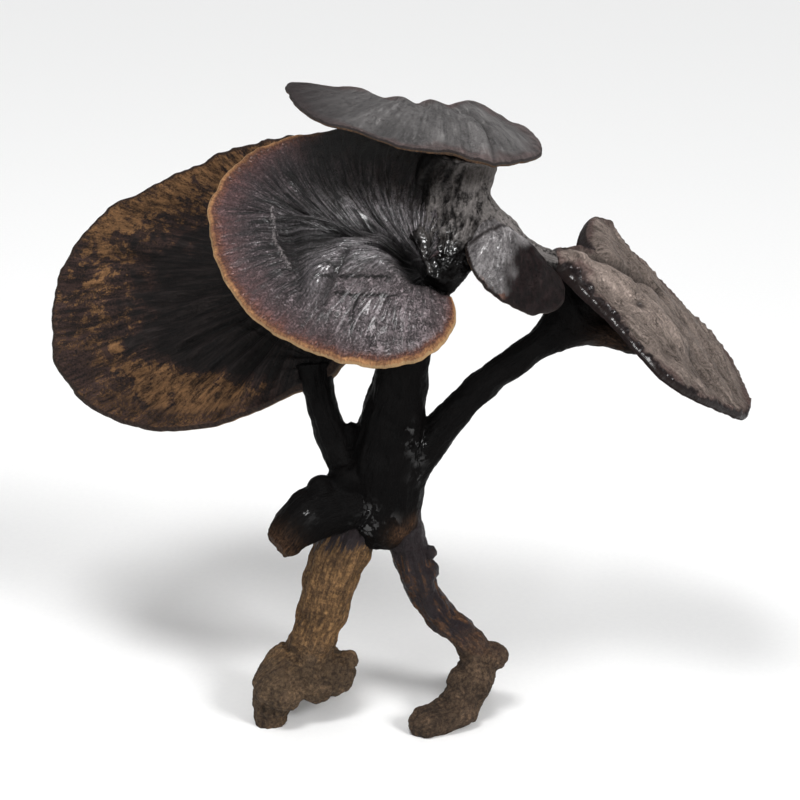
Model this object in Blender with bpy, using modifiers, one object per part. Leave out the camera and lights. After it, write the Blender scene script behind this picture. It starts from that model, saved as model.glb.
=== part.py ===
"""Reishi mushroom: a dried cluster of five lacquered caps on forked stems, standing on its root ends.

Run with  blender --background --python part.py, or from Blender's text editor. Metres, +Z up.
The front of the cluster faces -Y, and the flat ends of the roots stand on Z = 0.
Lengths in the tables are in millimetres and angles in degrees. Every table is turned into metres
where its solid is made.
"""

import math

import bmesh
import bpy
from mathutils import Vector, noise

MM = 0.001

# The cluster is laid out from a point on the ground in front of the right root.
# This moves the middle of its footprint onto the origin.
FOOTPRINT_MIDDLE = (-3.1, 43.6)

FIT_GAP = 0.45            # clearance round a piece where a neighbour grows out of it
CAP_SEGMENTS = 40         # round the hub of a cap
CAP_RINGS = 12            # from the top of the hub, over the margin, to the underside
STEM_POINT_EVERY = 6.0    # spacing of the cross-sections along a stem
GROUND_BLOCK = 400.0      # side of the block that cuts the root ends flat


# ---------------------------------------------------------------- helpers

def clear_scene():
    for obj in list(bpy.data.objects):
        bpy.data.objects.remove(obj)


def collection(name):
    made = bpy.data.collections.new(name)
    bpy.context.scene.collection.children.link(made)
    return made


def lacquer(name, colour, roughness):
    """A dried fungus surface: coloured crust with a varnish-like shine."""
    made = bpy.data.materials.new(name)
    made.use_nodes = True
    shader = made.node_tree.nodes["Principled BSDF"]
    shader.inputs["Base Color"].default_value = (*colour, 1.0)
    shader.inputs["Roughness"].default_value = roughness
    shader.inputs["Metallic"].default_value = 0.0
    made.diffuse_color = (*colour, 1.0)
    return made


def mesh_object(name, mesh, material, group):
    mesh.materials.clear()
    mesh.materials.append(material)
    mesh.shade_smooth()
    made = bpy.data.objects.new(name, mesh)
    group.objects.link(made)
    return made


def ring_value(table, angle):
    """The value at an angle of a smooth closed curve through (angle, value) pairs, never overshooting."""
    count = len(table)
    turned = (angle - table[0][0]) % 360.0 + table[0][0]
    after = next((i for i, row in enumerate(table) if row[0] > turned), count)

    def row(i):
        turns, place = divmod(i, count)
        return table[place][0] + 360.0 * turns, table[place][1]

    def slope(i):
        (x0, y0), (x1, y1), (x2, y2) = row(i - 1), row(i), row(i + 1)
        before, behind = (y1 - y0) / (x1 - x0), (y2 - y1) / (x2 - x1)
        if before * behind <= 0:
            return 0.0
        return 2 * before * behind / (before + behind)

    (x0, y0), (x1, y1) = row(after - 1), row(after)
    t = (turned - x0) / (x1 - x0)
    a, b = slope(after - 1) * (x1 - x0), slope(after) * (x1 - x0)
    return (y0 * (2 * t**3 - 3 * t**2 + 1) + a * (t**3 - 2 * t**2 + t)
            + y1 * (3 * t**2 - 2 * t**3) + b * (t**3 - t**2))


def angle_between(a, b):
    return (a - b + 180.0) % 360.0 - 180.0


# ---------------------------------------------------------------- caps

class Cap:
    """A bracket-like cap, described round its hub, where the stem meets it.

    hub      the middle of the flesh over the stem
    forward  from the hub towards the far margin
    up       square to the cap, out of its lacquered side
    margin   (angle, distance from the hub); 0 is forward and 90 is to the side given by up x forward
    droop    (angle, height of the margin off the flat of the cap)
    folds    (angle, half width, height): rays that stand up or sink, growing towards the margin
    """

    def __init__(self, hub, forward, up, margin, droop, folds=(), hub_thick=10.0, rim_thick=3.0,
                 flare=0.0, flare_width=12.0, dish=0.0, dish_width=16.0):
        self.hub = Vector(hub)
        self.up = Vector(up).normalized()
        self.forward = (Vector(forward) - Vector(forward).dot(self.up) * self.up).normalized()
        self.side = self.up.cross(self.forward)
        self.margin, self.droop, self.folds = margin, droop, folds
        self.hub_thick, self.rim_thick = hub_thick, rim_thick
        self.flare, self.flare_width = flare, flare_width
        self.dish, self.dish_width = dish, dish_width

    def place(self, angle, share, facing):
        """A point at a share of the way from the hub to the margin. facing is 1 on top, -1 below."""
        distance = share * ring_value(self.margin, angle)
        height = ring_value(self.droop, angle) * share**2
        for at, half_width, rise in self.folds:
            height += rise * share**1.5 * math.exp(-(angle_between(angle, at) / half_width) ** 2)
        height -= self.dish * math.exp(-(distance / self.dish_width) ** 2)
        half = 0.5 * (self.rim_thick + (self.hub_thick - self.rim_thick) * (1 - share) ** 1.3)
        edge = max(0.0, 1 - share**2) ** 0.25
        height += facing * half * edge
        if facing < 0:
            height -= self.flare * math.exp(-(distance / self.flare_width) ** 2)
        turn = math.radians(angle)
        return (self.hub + distance * (math.cos(turn) * self.forward + math.sin(turn) * self.side)
                + height * self.up)


def cap_solid(name, cap, material, group):
    """A ball whose equator is drawn out to the margin and whose poles are the two faces of the hub."""
    work = bmesh.new()
    bmesh.ops.create_uvsphere(work, u_segments=CAP_SEGMENTS, v_segments=CAP_RINGS, radius=1.0)
    for vert in work.verts:
        share = min(1.0, math.hypot(vert.co.x, vert.co.y))
        angle = math.degrees(math.atan2(vert.co.y, vert.co.x))
        vert.co = cap.place(angle, share, 1 if vert.co.z >= 0 else -1) * MM
    mesh = bpy.data.meshes.new(name)
    work.to_mesh(mesh)
    work.free()
    return mesh_object(name, mesh, material, group)


FRONT_CAP = Cap(
    hub=(10.7, 6.0, 203.5), forward=(-0.96, 0.267, 0.082), up=(-0.15, -0.74, 0.655),
    margin=[(-150, 10), (-120, 16), (-100, 32), (-77, 50), (-57, 62), (-43, 73), (-30, 85),
            (-17, 93), (-8, 94), (1, 89), (17, 76), (32, 65), (48, 55), (67, 46), (89, 40),
            (107, 33), (122, 26), (131, 20), (138, 12), (150, 8), (180, 8)],
    droop=[(-150, 0), (-77, -6), (-43, -4), (-10, -2), (10, -2), (40, -5), (80, -8), (110, -8),
           (131, -5), (150, 0), (180, 0)],
    folds=[(14, 10, 2.0), (-4, 8, -1.4), (-52, 12, 1.2), (60, 12, 1.0)],
    hub_thick=9.0, rim_thick=3.6, flare=3.0, dish=1.5)

LEFT_CAP = Cap(
    hub=(-33.0, 30.0, 155.6), forward=(-0.93, 0.348, 0.114), up=(-0.22, -0.78, 0.585),
    margin=[(-150, 15), (-125, 35), (-105, 60), (-88, 84), (-67, 98), (-50, 107), (-33, 112),
            (-19, 121), (-6, 126), (4, 120), (12, 114), (24, 97), (35, 74), (47, 46), (57, 26),
            (70, 15), (90, 10), (150, 8), (180, 9)],
    droop=[(-150, 0), (-105, -4), (-60, -6), (-20, -4), (10, -4), (35, -5), (57, -3), (90, 0),
           (180, 0)],
    folds=[(-22, 9, 1.6), (-45, 8, 1.4), (5, 8, 1.2), (28, 7, -1.0)],
    hub_thick=12.0, rim_thick=4.0, flare=5.0, flare_width=14.0)

TOP_CAP = Cap(
    hub=(27.0, 30.0, 247.5), forward=(-0.98, 0.0, 0.2), up=(0.2, -0.1, 0.974),
    margin=[(-170, 29), (-150, 30), (-125, 32), (-107, 36), (-90, 39), (-70, 37), (-54, 38), (-41, 43),
            (-30, 53), (-22, 62), (-15, 73), (-4, 74), (6, 68), (14, 65), (22, 53), (32, 42), (43, 36),
            (56, 30), (68, 25), (82, 24), (96, 25), (110, 27), (125, 26), (142, 25), (165, 27)],
    droop=[(-150, 0), (-90, 0), (-40, 0), (-15, 2), (0, 1), (45, -1), (90, -1), (150, -1), (180, -1)],
    folds=[(-29, 5, 1.6), (-36, 5, -1.2), (-44, 6, 1.4), (-54, 6, -1.4), (-65, 7, 1.4), (-77, 7, -1.4),
           (-92, 10, 1.8), (-118, 9, -1.6), (30, 10, 1.2), (75, 12, 1.4), (135, 14, 1.2)],
    hub_thick=11.0, rim_thick=2.6, flare=6.0, flare_width=15.0)

RIGHT_CAP = Cap(
    hub=(82.2, 37.3, 194.5), forward=(0.707, -0.242, -0.664), up=(0.62, -0.2, 0.73),
    margin=[(-165, 12), (-145, 24), (-130, 32), (-118, 37), (-106, 34), (-90, 31), (-75, 32), (-60, 37),
            (-50, 45), (-38, 56), (-25, 66), (-12, 78), (0, 84), (12, 82), (22, 80), (31, 70), (42, 57),
            (54, 47), (66, 42), (80, 41), (92, 41), (103, 41), (118, 36), (132, 28), (144, 19), (158, 11)],
    droop=[(-165, 0), (-115, -6), (-60, -6), (0, -5), (60, -4), (115, -3), (165, 0)],
    folds=[(14, 11, -1.5), (-14, 12, 1.5), (-112, 22, 3.6), (60, 12, 1.2), (112, 16, 2.0), (155, 20, -5.0)],
    hub_thick=15.0, rim_thick=3.8, flare=10.0, flare_width=20.0, dish=1.5)

SMALL_CAP = Cap(
    hub=(35.0, 13.0, 214.5), forward=(0.647, -0.453, -0.613), up=(0.22, -0.66, 0.72),
    margin=[(-170, 9), (-130, 10), (-100, 11), (-73, 13), (-52, 19), (-33, 26), (-20, 31), (-6, 37),
            (10, 38), (25, 37), (40, 28), (55, 19), (77, 13), (120, 12), (160, 10)],
    droop=[(-170, 0), (-60, -4), (-10, -7), (30, -6), (77, -3), (120, 0)],
    hub_thick=10.0, rim_thick=3.0)


# ---------------------------------------------------------------- stems and roots

def smooth_path(points, spacing):
    """Rows (x, y, z, radius) along a smooth curve through the given rows, about evenly spaced."""
    rows = []
    last = len(points) - 1
    for i in range(last):
        p0, p1, p2, p3 = (Vector(points[max(0, min(last, k))]) for k in (i - 1, i, i + 1, i + 2))
        steps = max(1, round((Vector(p2[:3]) - Vector(p1[:3])).length / spacing))
        for step in range(steps):
            t = step / steps
            rows.append(0.5 * (2 * p1 + (p2 - p0) * t + (2 * p0 - 5 * p1 + 4 * p2 - p3) * t**2
                               + (3 * p1 - p0 - 3 * p2 + p3) * t**3))
    rows.append(Vector(points[last]))
    return rows


def tube_mesh(name, points):
    """A filled tube whose radius follows the path, from a curve with a bevel, as a welded mesh."""
    curve = bpy.data.curves.new(name, "CURVE")
    curve.dimensions = "3D"
    curve.bevel_depth = MM
    curve.bevel_resolution = 3
    curve.use_fill_caps = True
    rows = smooth_path(points, STEM_POINT_EVERY)
    spline = curve.splines.new("POLY")
    spline.points.add(len(rows) - 1)
    for point, (x, y, z, radius) in zip(spline.points, rows):
        point.co = (x * MM, y * MM, z * MM, 1.0)
        point.radius = radius
    holder = bpy.data.objects.new(name, curve)
    bpy.context.scene.collection.objects.link(holder)
    graph = bpy.context.evaluated_depsgraph_get()
    mesh = bpy.data.meshes.new_from_object(holder.evaluated_get(graph))
    bpy.data.objects.remove(holder)
    work = bmesh.new()
    work.from_mesh(mesh)
    bmesh.ops.remove_doubles(work, verts=work.verts, dist=1e-6)
    bmesh.ops.recalc_face_normals(work, faces=work.faces)
    work.to_mesh(mesh)
    work.free()
    return mesh


def make_knobbly(mesh, height, size):
    """Moves the surface in and out by a smooth noise of the given height and lump size."""
    normals = [vert.normal.copy() for vert in mesh.vertices]
    for vert, normal in zip(mesh.vertices, normals):
        vert.co += normal * (height * MM * noise.noise(vert.co / (size * MM)))


def stem_solid(name, points, material, group, knobs=0.8):
    mesh = tube_mesh(name, points)
    make_knobbly(mesh, knobs, 9.0)
    return mesh_object(name, mesh, material, group)


def root_solid(name, limbs, lumps, material, group):
    """A root: its limbs and its earthy lumps fused into one knobbly body, then thinned out."""
    joined = bmesh.new()
    for limb in limbs:
        tube = tube_mesh(name, limb)
        joined.from_mesh(tube)
        bpy.data.meshes.remove(tube)
    for x, y, z, radius in lumps:
        ball = bmesh.ops.create_icosphere(joined, subdivisions=3, radius=radius * MM)
        bmesh.ops.translate(joined, verts=ball["verts"], vec=Vector((x, y, z)) * MM)
    mesh = bpy.data.meshes.new(name)
    joined.to_mesh(mesh)
    joined.free()
    make_knobbly(mesh, 1.2, 6.0)
    made = mesh_object(name, mesh, material, group)
    fuse = made.modifiers.new("fuse", "REMESH")
    fuse.mode = "VOXEL"
    fuse.voxel_size = 1.8 * MM
    thin = made.modifiers.new("thin", "DECIMATE")
    thin.ratio = 0.18
    return made


MAIN_STEM = [(-7, 25, 79, 10.0), (-7, 25, 87, 14.8), (-6, 24, 101, 16.2), (-5.5, 23, 118, 15.6),
             (-3, 22, 134, 13.8), (-1, 21, 147, 12.2), (1, 20, 160, 10.8), (6, 19, 175, 10.0),
             (13, 17, 189, 9.6), (20, 17, 202, 9.4)]
TOP_STEM = [(20, 17, 200, 8.0), (25, 20, 212, 10.0), (27, 23, 223, 9.0), (28, 26, 231, 9.8),
            (28, 28, 237, 12.0), (28, 28, 242, 13.0)]
LEFT_STEM = [(-12, 22, 99, 9.0), (-20, 23, 111, 8.6), (-26, 25, 122, 6.8), (-29, 26, 131, 6.1), (-31, 28, 140, 5.6),
             (-33, 29, 148, 6.0), (-34, 31, 156, 7.5)]
RIGHT_STEM = [(-2, 22, 103, 8.5), (7, 22, 119, 8.4), (20, 23, 135, 6.6), (34, 24, 149, 5.8),
              (46, 26, 159, 5.9), (58, 28, 168, 6.6), (68, 32, 177, 8.5), (78, 36, 188, 12.0)]
STEM_STUB = [(-10, 23, 99, 11.0), (-26, 18, 97, 11.4), (-36, 14, 95, 11.2), (-43, 10, 91, 9.0),
             (-48, 7, 89, 7.4), (-51, 5, 88, 5.0)]
LEFT_ROOT = [(-18, 24, 92, 10.0), (-24, 23, 76, 11.8), (-29, 22, 62, 11.2), (-33, 22, 46, 10.2),
             (-37, 22, 34, 10.0), (-39, 22, 24, 10.5)]
LEFT_ROOT_FRONT_TOE = [(-43, 20, 27, 10.0), (-49, 18, 20, 10.5), (-53, 16, 9, 8.2), (-54, 16, -2, 6.5)]
LEFT_ROOT_BACK_TOE = [(-34, 24, 22, 11.0), (-30, 32, 14, 10.5), (-28, 44, 7, 9.5), (-28, 53, 3, 8.0)]
LEFT_ROOT_LUMPS = [(-29, 22, 18, 10.5), (-50, 14, 18, 11.0)]
RIGHT_ROOT = [(2, 24, 85, 8.0), (6, 25, 69, 7.8), (11, 26, 54, 7.0), (19, 26, 43, 6.4),
              (28, 25, 34, 6.6), (32, 24, 25, 8.0), (28, 19, 14, 8.8), (21, 12, 6, 8.2), (12, 7, 5, 7.2)]
RIGHT_ROOT_BACK_TOE = [(33, 24, 20, 7.0), (33, 34, 11, 7.0), (31, 44, 4, 7.0), (30, 49, 1, 6.0)]
RIGHT_ROOT_LUMPS = [(38, 24, 27, 6.2), (23, 20, 18, 7.0), (11, 7, 5, 7.2)]


# ---------------------------------------------------------------- fitting neighbours together

def cutter_of(obj, helpers):
    """A copy of a piece, grown by the fitting gap, that cuts its neighbours."""
    graph = bpy.context.evaluated_depsgraph_get()
    mesh = bpy.data.meshes.new_from_object(obj.evaluated_get(graph))
    mesh.name = "cutter_" + obj.name
    normals = [vert.normal.copy() for vert in mesh.vertices]
    for vert, normal in zip(mesh.vertices, normals):
        vert.co += normal * (FIT_GAP * MM)
    made = bpy.data.objects.new(mesh.name, mesh)
    helpers.objects.link(made)
    made.hide_render = True
    made.display_type = "WIRE"
    return made


def cut(obj, cutter):
    trim = obj.modifiers.new("cut by " + cutter.name, "BOOLEAN")
    trim.operation = "DIFFERENCE"
    trim.object = cutter


def ground_block(helpers):
    work = bmesh.new()
    bmesh.ops.create_cube(work, size=GROUND_BLOCK * MM)
    bmesh.ops.translate(work, verts=work.verts, vec=(0, 0, -GROUND_BLOCK / 2 * MM))
    mesh = bpy.data.meshes.new("ground")
    work.to_mesh(mesh)
    work.free()
    made = bpy.data.objects.new("ground", mesh)
    helpers.objects.link(made)
    made.hide_render = True
    made.display_type = "WIRE"
    return made


# ---------------------------------------------------------------- the cluster

def build():
    clear_scene()
    cluster = collection("reishi_mushroom")
    helpers = collection("cutters")

    dark_crust = lacquer("dark_crust", (0.075, 0.055, 0.055), 0.38)
    spored_crust = lacquer("spored_crust", (0.13, 0.075, 0.04), 0.7)
    grey_crust = lacquer("grey_crust", (0.11, 0.10, 0.10), 0.5)
    brown_crust = lacquer("brown_crust", (0.12, 0.095, 0.085), 0.55)
    black_lacquer = lacquer("black_lacquer", (0.012, 0.011, 0.012), 0.25)
    earthy_root = lacquer("earthy_root", (0.14, 0.085, 0.045), 0.85)

    front_cap = cap_solid("front_cap", FRONT_CAP, dark_crust, cluster)
    left_cap = cap_solid("left_cap", LEFT_CAP, spored_crust, cluster)
    top_cap = cap_solid("top_cap", TOP_CAP, grey_crust, cluster)
    right_cap = cap_solid("right_cap", RIGHT_CAP, brown_crust, cluster)
    small_cap = cap_solid("small_cap", SMALL_CAP, grey_crust, cluster)

    main_stem = stem_solid("main_stem", MAIN_STEM, black_lacquer, cluster, knobs=1.4)
    top_stem = stem_solid("top_stem", TOP_STEM, black_lacquer, cluster)
    left_stem = stem_solid("left_stem", LEFT_STEM, black_lacquer, cluster)
    right_stem = stem_solid("right_stem", RIGHT_STEM, black_lacquer, cluster)
    stem_stub = stem_solid("stem_stub", STEM_STUB, black_lacquer, cluster, knobs=1.2)
    left_root = root_solid("left_root", [LEFT_ROOT, LEFT_ROOT_FRONT_TOE, LEFT_ROOT_BACK_TOE],
                           LEFT_ROOT_LUMPS, earthy_root, cluster)
    right_root = root_solid("right_root", [RIGHT_ROOT, RIGHT_ROOT_BACK_TOE],
                            RIGHT_ROOT_LUMPS, earthy_root, cluster)
    bpy.context.view_layer.update()

    # The caps keep their whole shape, and each stem is cut to what it grows from or into.
    cutters = {obj.name: cutter_of(obj, helpers)
               for obj in (front_cap, left_cap, top_cap, right_cap, main_stem, top_stem, stem_stub)}
    ground = ground_block(helpers)
    grows_on = [
        (main_stem, ["front_cap"]),
        (top_stem, ["front_cap", "main_stem", "top_cap"]),
        (small_cap, ["main_stem", "top_stem", "right_cap"]),
        (left_stem, ["main_stem", "stem_stub", "left_cap"]),
        (right_stem, ["main_stem", "right_cap"]),
        (stem_stub, ["main_stem"]),
        (left_root, ["main_stem", "stem_stub"]),
        (right_root, ["main_stem"]),
    ]
    for piece, neighbours in grows_on:
        for neighbour in neighbours:
            cut(piece, cutters[neighbour])
    for root in (left_root, right_root):
        cut(root, ground)

    stand = bpy.data.objects.new("stand_point", None)
    cluster.objects.link(stand)
    for obj in list(cluster.objects):
        if obj is not stand:
            obj.parent = stand
    for obj in list(helpers.objects):
        obj.parent = stand
    stand.location = (-FOOTPRINT_MIDDLE[0] * MM, -FOOTPRINT_MIDDLE[1] * MM, 0)


build()
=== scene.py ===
"""Looks of the reishi mushroom: a dried cluster of five caps on forked stems, standing on its root ends.

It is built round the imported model, whose solids stay underneath for size and contact.
Lengths in the tables are millimetres and angles are degrees. Heights grow along +Z, and the front
of the cluster faces -Y.
"""

import math
from types import SimpleNamespace

import bmesh
import bpy
import numpy as np
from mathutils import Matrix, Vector, kdtree, noise


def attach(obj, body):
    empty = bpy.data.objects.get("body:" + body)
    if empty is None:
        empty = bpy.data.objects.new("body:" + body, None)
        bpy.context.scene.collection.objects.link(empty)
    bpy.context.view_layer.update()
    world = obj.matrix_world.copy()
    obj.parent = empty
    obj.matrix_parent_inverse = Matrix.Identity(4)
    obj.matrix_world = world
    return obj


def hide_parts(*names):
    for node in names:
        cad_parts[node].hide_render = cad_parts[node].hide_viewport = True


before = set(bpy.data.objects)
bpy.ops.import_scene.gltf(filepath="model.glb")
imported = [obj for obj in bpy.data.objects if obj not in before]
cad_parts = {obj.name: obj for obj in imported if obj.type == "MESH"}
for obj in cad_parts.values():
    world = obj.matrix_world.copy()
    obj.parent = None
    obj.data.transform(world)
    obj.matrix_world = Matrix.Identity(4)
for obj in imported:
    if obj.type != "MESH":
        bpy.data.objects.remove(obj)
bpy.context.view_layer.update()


# ============================================================ stems
# The stems are one growth: a trunk that forks to the five caps, and a broken-off stub. They are fused
# into a single skin, wrinkled lengthwise, under a black natural lacquer that is wettest at the neck.

MM = 0.001
LAYOUT_SHIFT = np.array([3.1, -43.6, 0.0])   # from the layout point of the tables to the frame's origin
STEM_VOXEL = 0.642                            # size of the cells that the limbs are fused with
TUBE_STEP, GRAIN_STEP = 2.5, 1.5              # spacing along a limb: of its tube's rings, of its grain
FORK_BLEND = 1.2                              # how fast one limb's grain fades into the next at a fork
RIDGE_FALL = 3.2                              # how steeply ridges fall to the valleys between them
NECK = (20, 8, 209)                           # the middle of the folds where the caps part
DRAPE_X, DRAPE_Z = 15, 199                    # those folds hang round this line, which runs front to back

TRUNK = [(-7, 25, 79, 10.0), (-7, 25, 87, 14.6), (-6, 24, 101, 15.8), (-5.2, 23, 118, 15.4),
         (-2.6, 22, 134, 13.4), (-0.4, 21, 147, 11.8), (1.5, 20, 160, 10.4), (5, 19, 175, 9.6),
         (11, 17, 189, 8.6), (18, 18, 202, 10.4), (24, 20, 213, 11.0)]
TOP_STEM = [(20, 18, 202, 9.0), (24.5, 20, 213, 10.5), (25, 23, 222, 9.6), (25.8, 25, 230, 8.8),
            (26.5, 28, 238, 10.9), (27, 28, 243, 16.0)]
LEFT_STEM = [(-12, 22, 99, 9.0), (-19.4, 23, 111, 8.6), (-25.4, 25, 122, 7.2), (-29.2, 26, 131, 6.6),
             (-31.8, 28, 140, 6.2), (-34.2, 29, 148, 7.2), (-35, 31, 155, 9.5)]
LEFT_WEB = [(-8, 22, 112, 9.0), (-14, 23, 120, 6.8), (-18.8, 24, 127, 3.8), (-21.5, 25, 131, 2.4)]
RIGHT_STEM = [(-1, 22, 103, 9.2), (7.5, 22, 118.4, 8.6), (20.8, 23, 134.8, 6.6), (34.8, 24, 149.6, 6.2),
              (46.6, 26, 158.2, 5.9), (58.4, 28, 166.4, 6.8), (68, 32, 176, 9.5), (78, 36, 186, 12.0)]
RIGHT_FLARE = [(62, 28, 168, 7.0), (72, 30, 170, 7.8), (81, 32, 168.5, 6.8), (90, 32, 164.5, 5.2),
               (98, 32, 160.5, 3.0)]
RIGHT_CHEEK = [(70, 31, 174, 9.0), (66, 30, 184, 8.0), (61.5, 29, 193, 6.0)]
STUB = [(-10, 23, 99, 11.0), (-26, 18, 98, 11.6), (-36, 14, 95.8, 11.2), (-43, 10, 91.4, 9.2),
        (-47.2, 7.5, 87, 8.2), (-49.6, 6, 85.4, 6.4)]
NECK_FRONT = [[(28, 28, 240, 9.0), (19, 26, 230, 8.5), (13, 21, 219, 7.0), (9, 12, 208, 5.5)],
              [(17, 31, 240, 8.0), (13, 30, 236, 7.0), (9, 26, 228, 4.0)],
              [(30.6, 26, 239, 7.6), (25.5, 19, 225, 8.2), (23.5, 14, 212, 9.5), (19, 10, 202, 8.5),
               (16, 11, 194, 6.0)],
              [(7, 12, 215, 3.6), (9, 7.4, 209, 3.0), (11.6, 4, 204, 2.6), (14.4, 1.8, 199.8, 2.4),
               (17, 3, 197, 2.2)]]
RIGHT_ARM = [(25.5, 22, 226, 7.8), (31.8, 20, 216.8, 8.7), (38.6, 18, 210, 9.1), (45.4, 16, 205.4, 7.9),
             (53.2, 15, 202.2, 6.4), (60, 16, 200.4, 5.0)]
SMALL_CAP_ROOT = [(26, 13, 209, 8.0), (34, 13, 206, 7.0), (42, 11, 200, 5.0)]
NECK_LUMPS = [(19, 8, 203, 7.5), (22, 10, 210, 7.5)]
TRUNK_LUMPS = [(-32, 14, 106.5, 6.0), (-21, 19, 109.5, 8.4), (2, 20, 113, 9.5)]


def smooth_path(points, spacing):
    """Rows of x, y, z and radius along a smooth curve through the given rows, about evenly spaced."""
    rows = np.array(points, float)
    padded = np.vstack([rows[:1], rows, rows[-1:]])
    out = []
    for i in range(len(rows) - 1):
        p0, p1, p2, p3 = padded[i:i + 4]
        steps = max(1, round(np.linalg.norm(p2[:3] - p1[:3]) / spacing))
        for t in np.arange(steps) / steps:
            out.append(0.5 * (2 * p1 + (p2 - p0) * t + (2 * p0 - 5 * p1 + 4 * p2 - p3) * t**2
                              + (3 * p1 - p0 - 3 * p2 + p3) * t**3))
    return np.array(out + [rows[-1]])


def noise_at(points, size, seed):
    """Smooth noise, about -0.6 to 0.6, with lumps of the given size, at each row of an array."""
    return np.array([noise.noise(p) for p in (points / size + 7.31 * seed).tolist()])


def ramp(values, low, high):
    """0 at low and 1 at high, straight between. With high under low it falls instead."""
    return np.clip((values - low) / (high - low), 0, 1)


def bell(distance, width):
    """1 where the distance is 0, falling smoothly to 0 a few widths away."""
    return np.exp(-(distance / width) ** 2)


def evaluated_mesh(obj):
    """The mesh that an object's modifiers make. The object itself is removed."""
    graph = bpy.context.evaluated_depsgraph_get()
    mesh = bpy.data.meshes.new_from_object(obj.evaluated_get(graph))
    bpy.data.objects.remove(obj)
    return mesh


def linked(name, data):
    """A new object in the scene."""
    made = bpy.data.objects.new(name, data)
    bpy.context.scene.collection.objects.link(made)
    return made


def fused_skin(name, limbs, lumps, voxel, smoothing):
    """One mesh round all the limbs and lumps, in frame coordinates, with softened forks."""
    joined = bmesh.new()
    for limb in limbs:
        curve = bpy.data.curves.new(name, "CURVE")
        curve.dimensions = "3D"
        curve.bevel_depth = MM
        curve.bevel_resolution = 5
        curve.use_fill_caps = True
        rows = smooth_path(limb, TUBE_STEP)
        spline = curve.splines.new("POLY")
        spline.points.add(len(rows) - 1)
        for point, row in zip(spline.points, rows):
            point.co = (*((row[:3] + LAYOUT_SHIFT) * MM), 1.0)
            point.radius = row[3]
        tube = evaluated_mesh(linked(name, curve))
        joined.from_mesh(tube)
        bpy.data.meshes.remove(tube)
    for *centre, radius in lumps:
        ball = bmesh.ops.create_icosphere(joined, subdivisions=3, radius=radius * MM)
        bmesh.ops.translate(joined, verts=ball["verts"], vec=(np.array(centre) + LAYOUT_SHIFT) * MM)
    bmesh.ops.remove_doubles(joined, verts=joined.verts, dist=1e-6)
    mesh = bpy.data.meshes.new(name)
    joined.to_mesh(mesh)
    joined.free()
    rough = linked(name, mesh)
    fuse = rough.modifiers.new("fuse", "REMESH")
    fuse.mode = "VOXEL"
    fuse.voxel_size = voxel * MM
    soften = rough.modifiers.new("soften", "SMOOTH")
    soften.iterations = smoothing
    fused = evaluated_mesh(rough)
    fused.name = name
    return linked(name, fused)


def points_of(mesh):
    """The points of a mesh, in the tables' millimetres, and its normals."""
    points = np.empty(len(mesh.vertices) * 3, np.float32)
    mesh.vertices.foreach_get("co", points)
    normals = np.empty(len(mesh.vertices) * 3, np.float32)
    mesh.vertex_normals.foreach_get("vector", normals)
    return points.reshape(-1, 3) / MM - LAYOUT_SHIFT, normals.reshape(-1, 3).astype(float)


def set_points(mesh, points):
    """Moves the points of a mesh to places in the tables' millimetres."""
    mesh.vertices.foreach_set("co", ((points + LAYOUT_SHIFT) * MM).astype(np.float32).ravel())
    mesh.update()


def store(mesh, name, values):
    """Keeps a number or a vector at each point of the mesh, for its material."""
    kind, key = ("FLOAT_VECTOR", "vector") if values.ndim == 2 else ("FLOAT", "value")
    layer = mesh.attributes.new(name, kind, "POINT")
    layer.data.foreach_set(key, values.astype(np.float32).ravel())


def along_limbs(points, limbs):
    """For each limb: how much of each point belongs to it, and the point's offset from its middle line,
    with the length along the limb in place of its third direction."""
    shares, grains = [], []
    for limb in limbs:
        rows = smooth_path(limb, GRAIN_STEP)
        length = np.concatenate([[0], np.cumsum(np.linalg.norm(np.diff(rows[:, :3], axis=0), axis=1))])
        tree = kdtree.KDTree(len(rows))
        for i, row in enumerate(rows):
            tree.insert(row[:3], i)
        tree.balance()
        nearest = np.array([tree.find(p)[1] for p in points.tolist()])
        offset = points - rows[nearest, :3]
        shares.append(np.linalg.norm(offset, axis=1) - rows[nearest, 3])
        direction = np.gradient(rows[:, :3], axis=0)[nearest]
        direction /= np.linalg.norm(direction, axis=1)[:, None]
        offset -= (offset * direction).sum(1)[:, None] * direction
        grains.append(np.column_stack([offset[:, 0], offset[:, 1] + offset[:, 2], length[nearest]]))
    near = np.array(shares)
    weight = np.exp(-(near - near.min(0)) / FORK_BLEND)
    return weight / weight.sum(0), np.array(grains)


def ridged(values, sharpness=1.0):
    """Turns smooth noise into rounded ridges with narrow valleys between them, from about 0 to 1."""
    return (1 - np.minimum(1, np.abs(values) * RIDGE_FALL)) ** sharpness


def lengthwise_noise(weight, grains, size, stretch, seed):
    """Noise drawn out along the limbs, blended where they fork."""
    scale = np.array([1, 1, 1 / stretch])
    return sum(w * noise_at(g * scale, size, seed + i) for i, (w, g) in enumerate(zip(weight, grains)))


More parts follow.
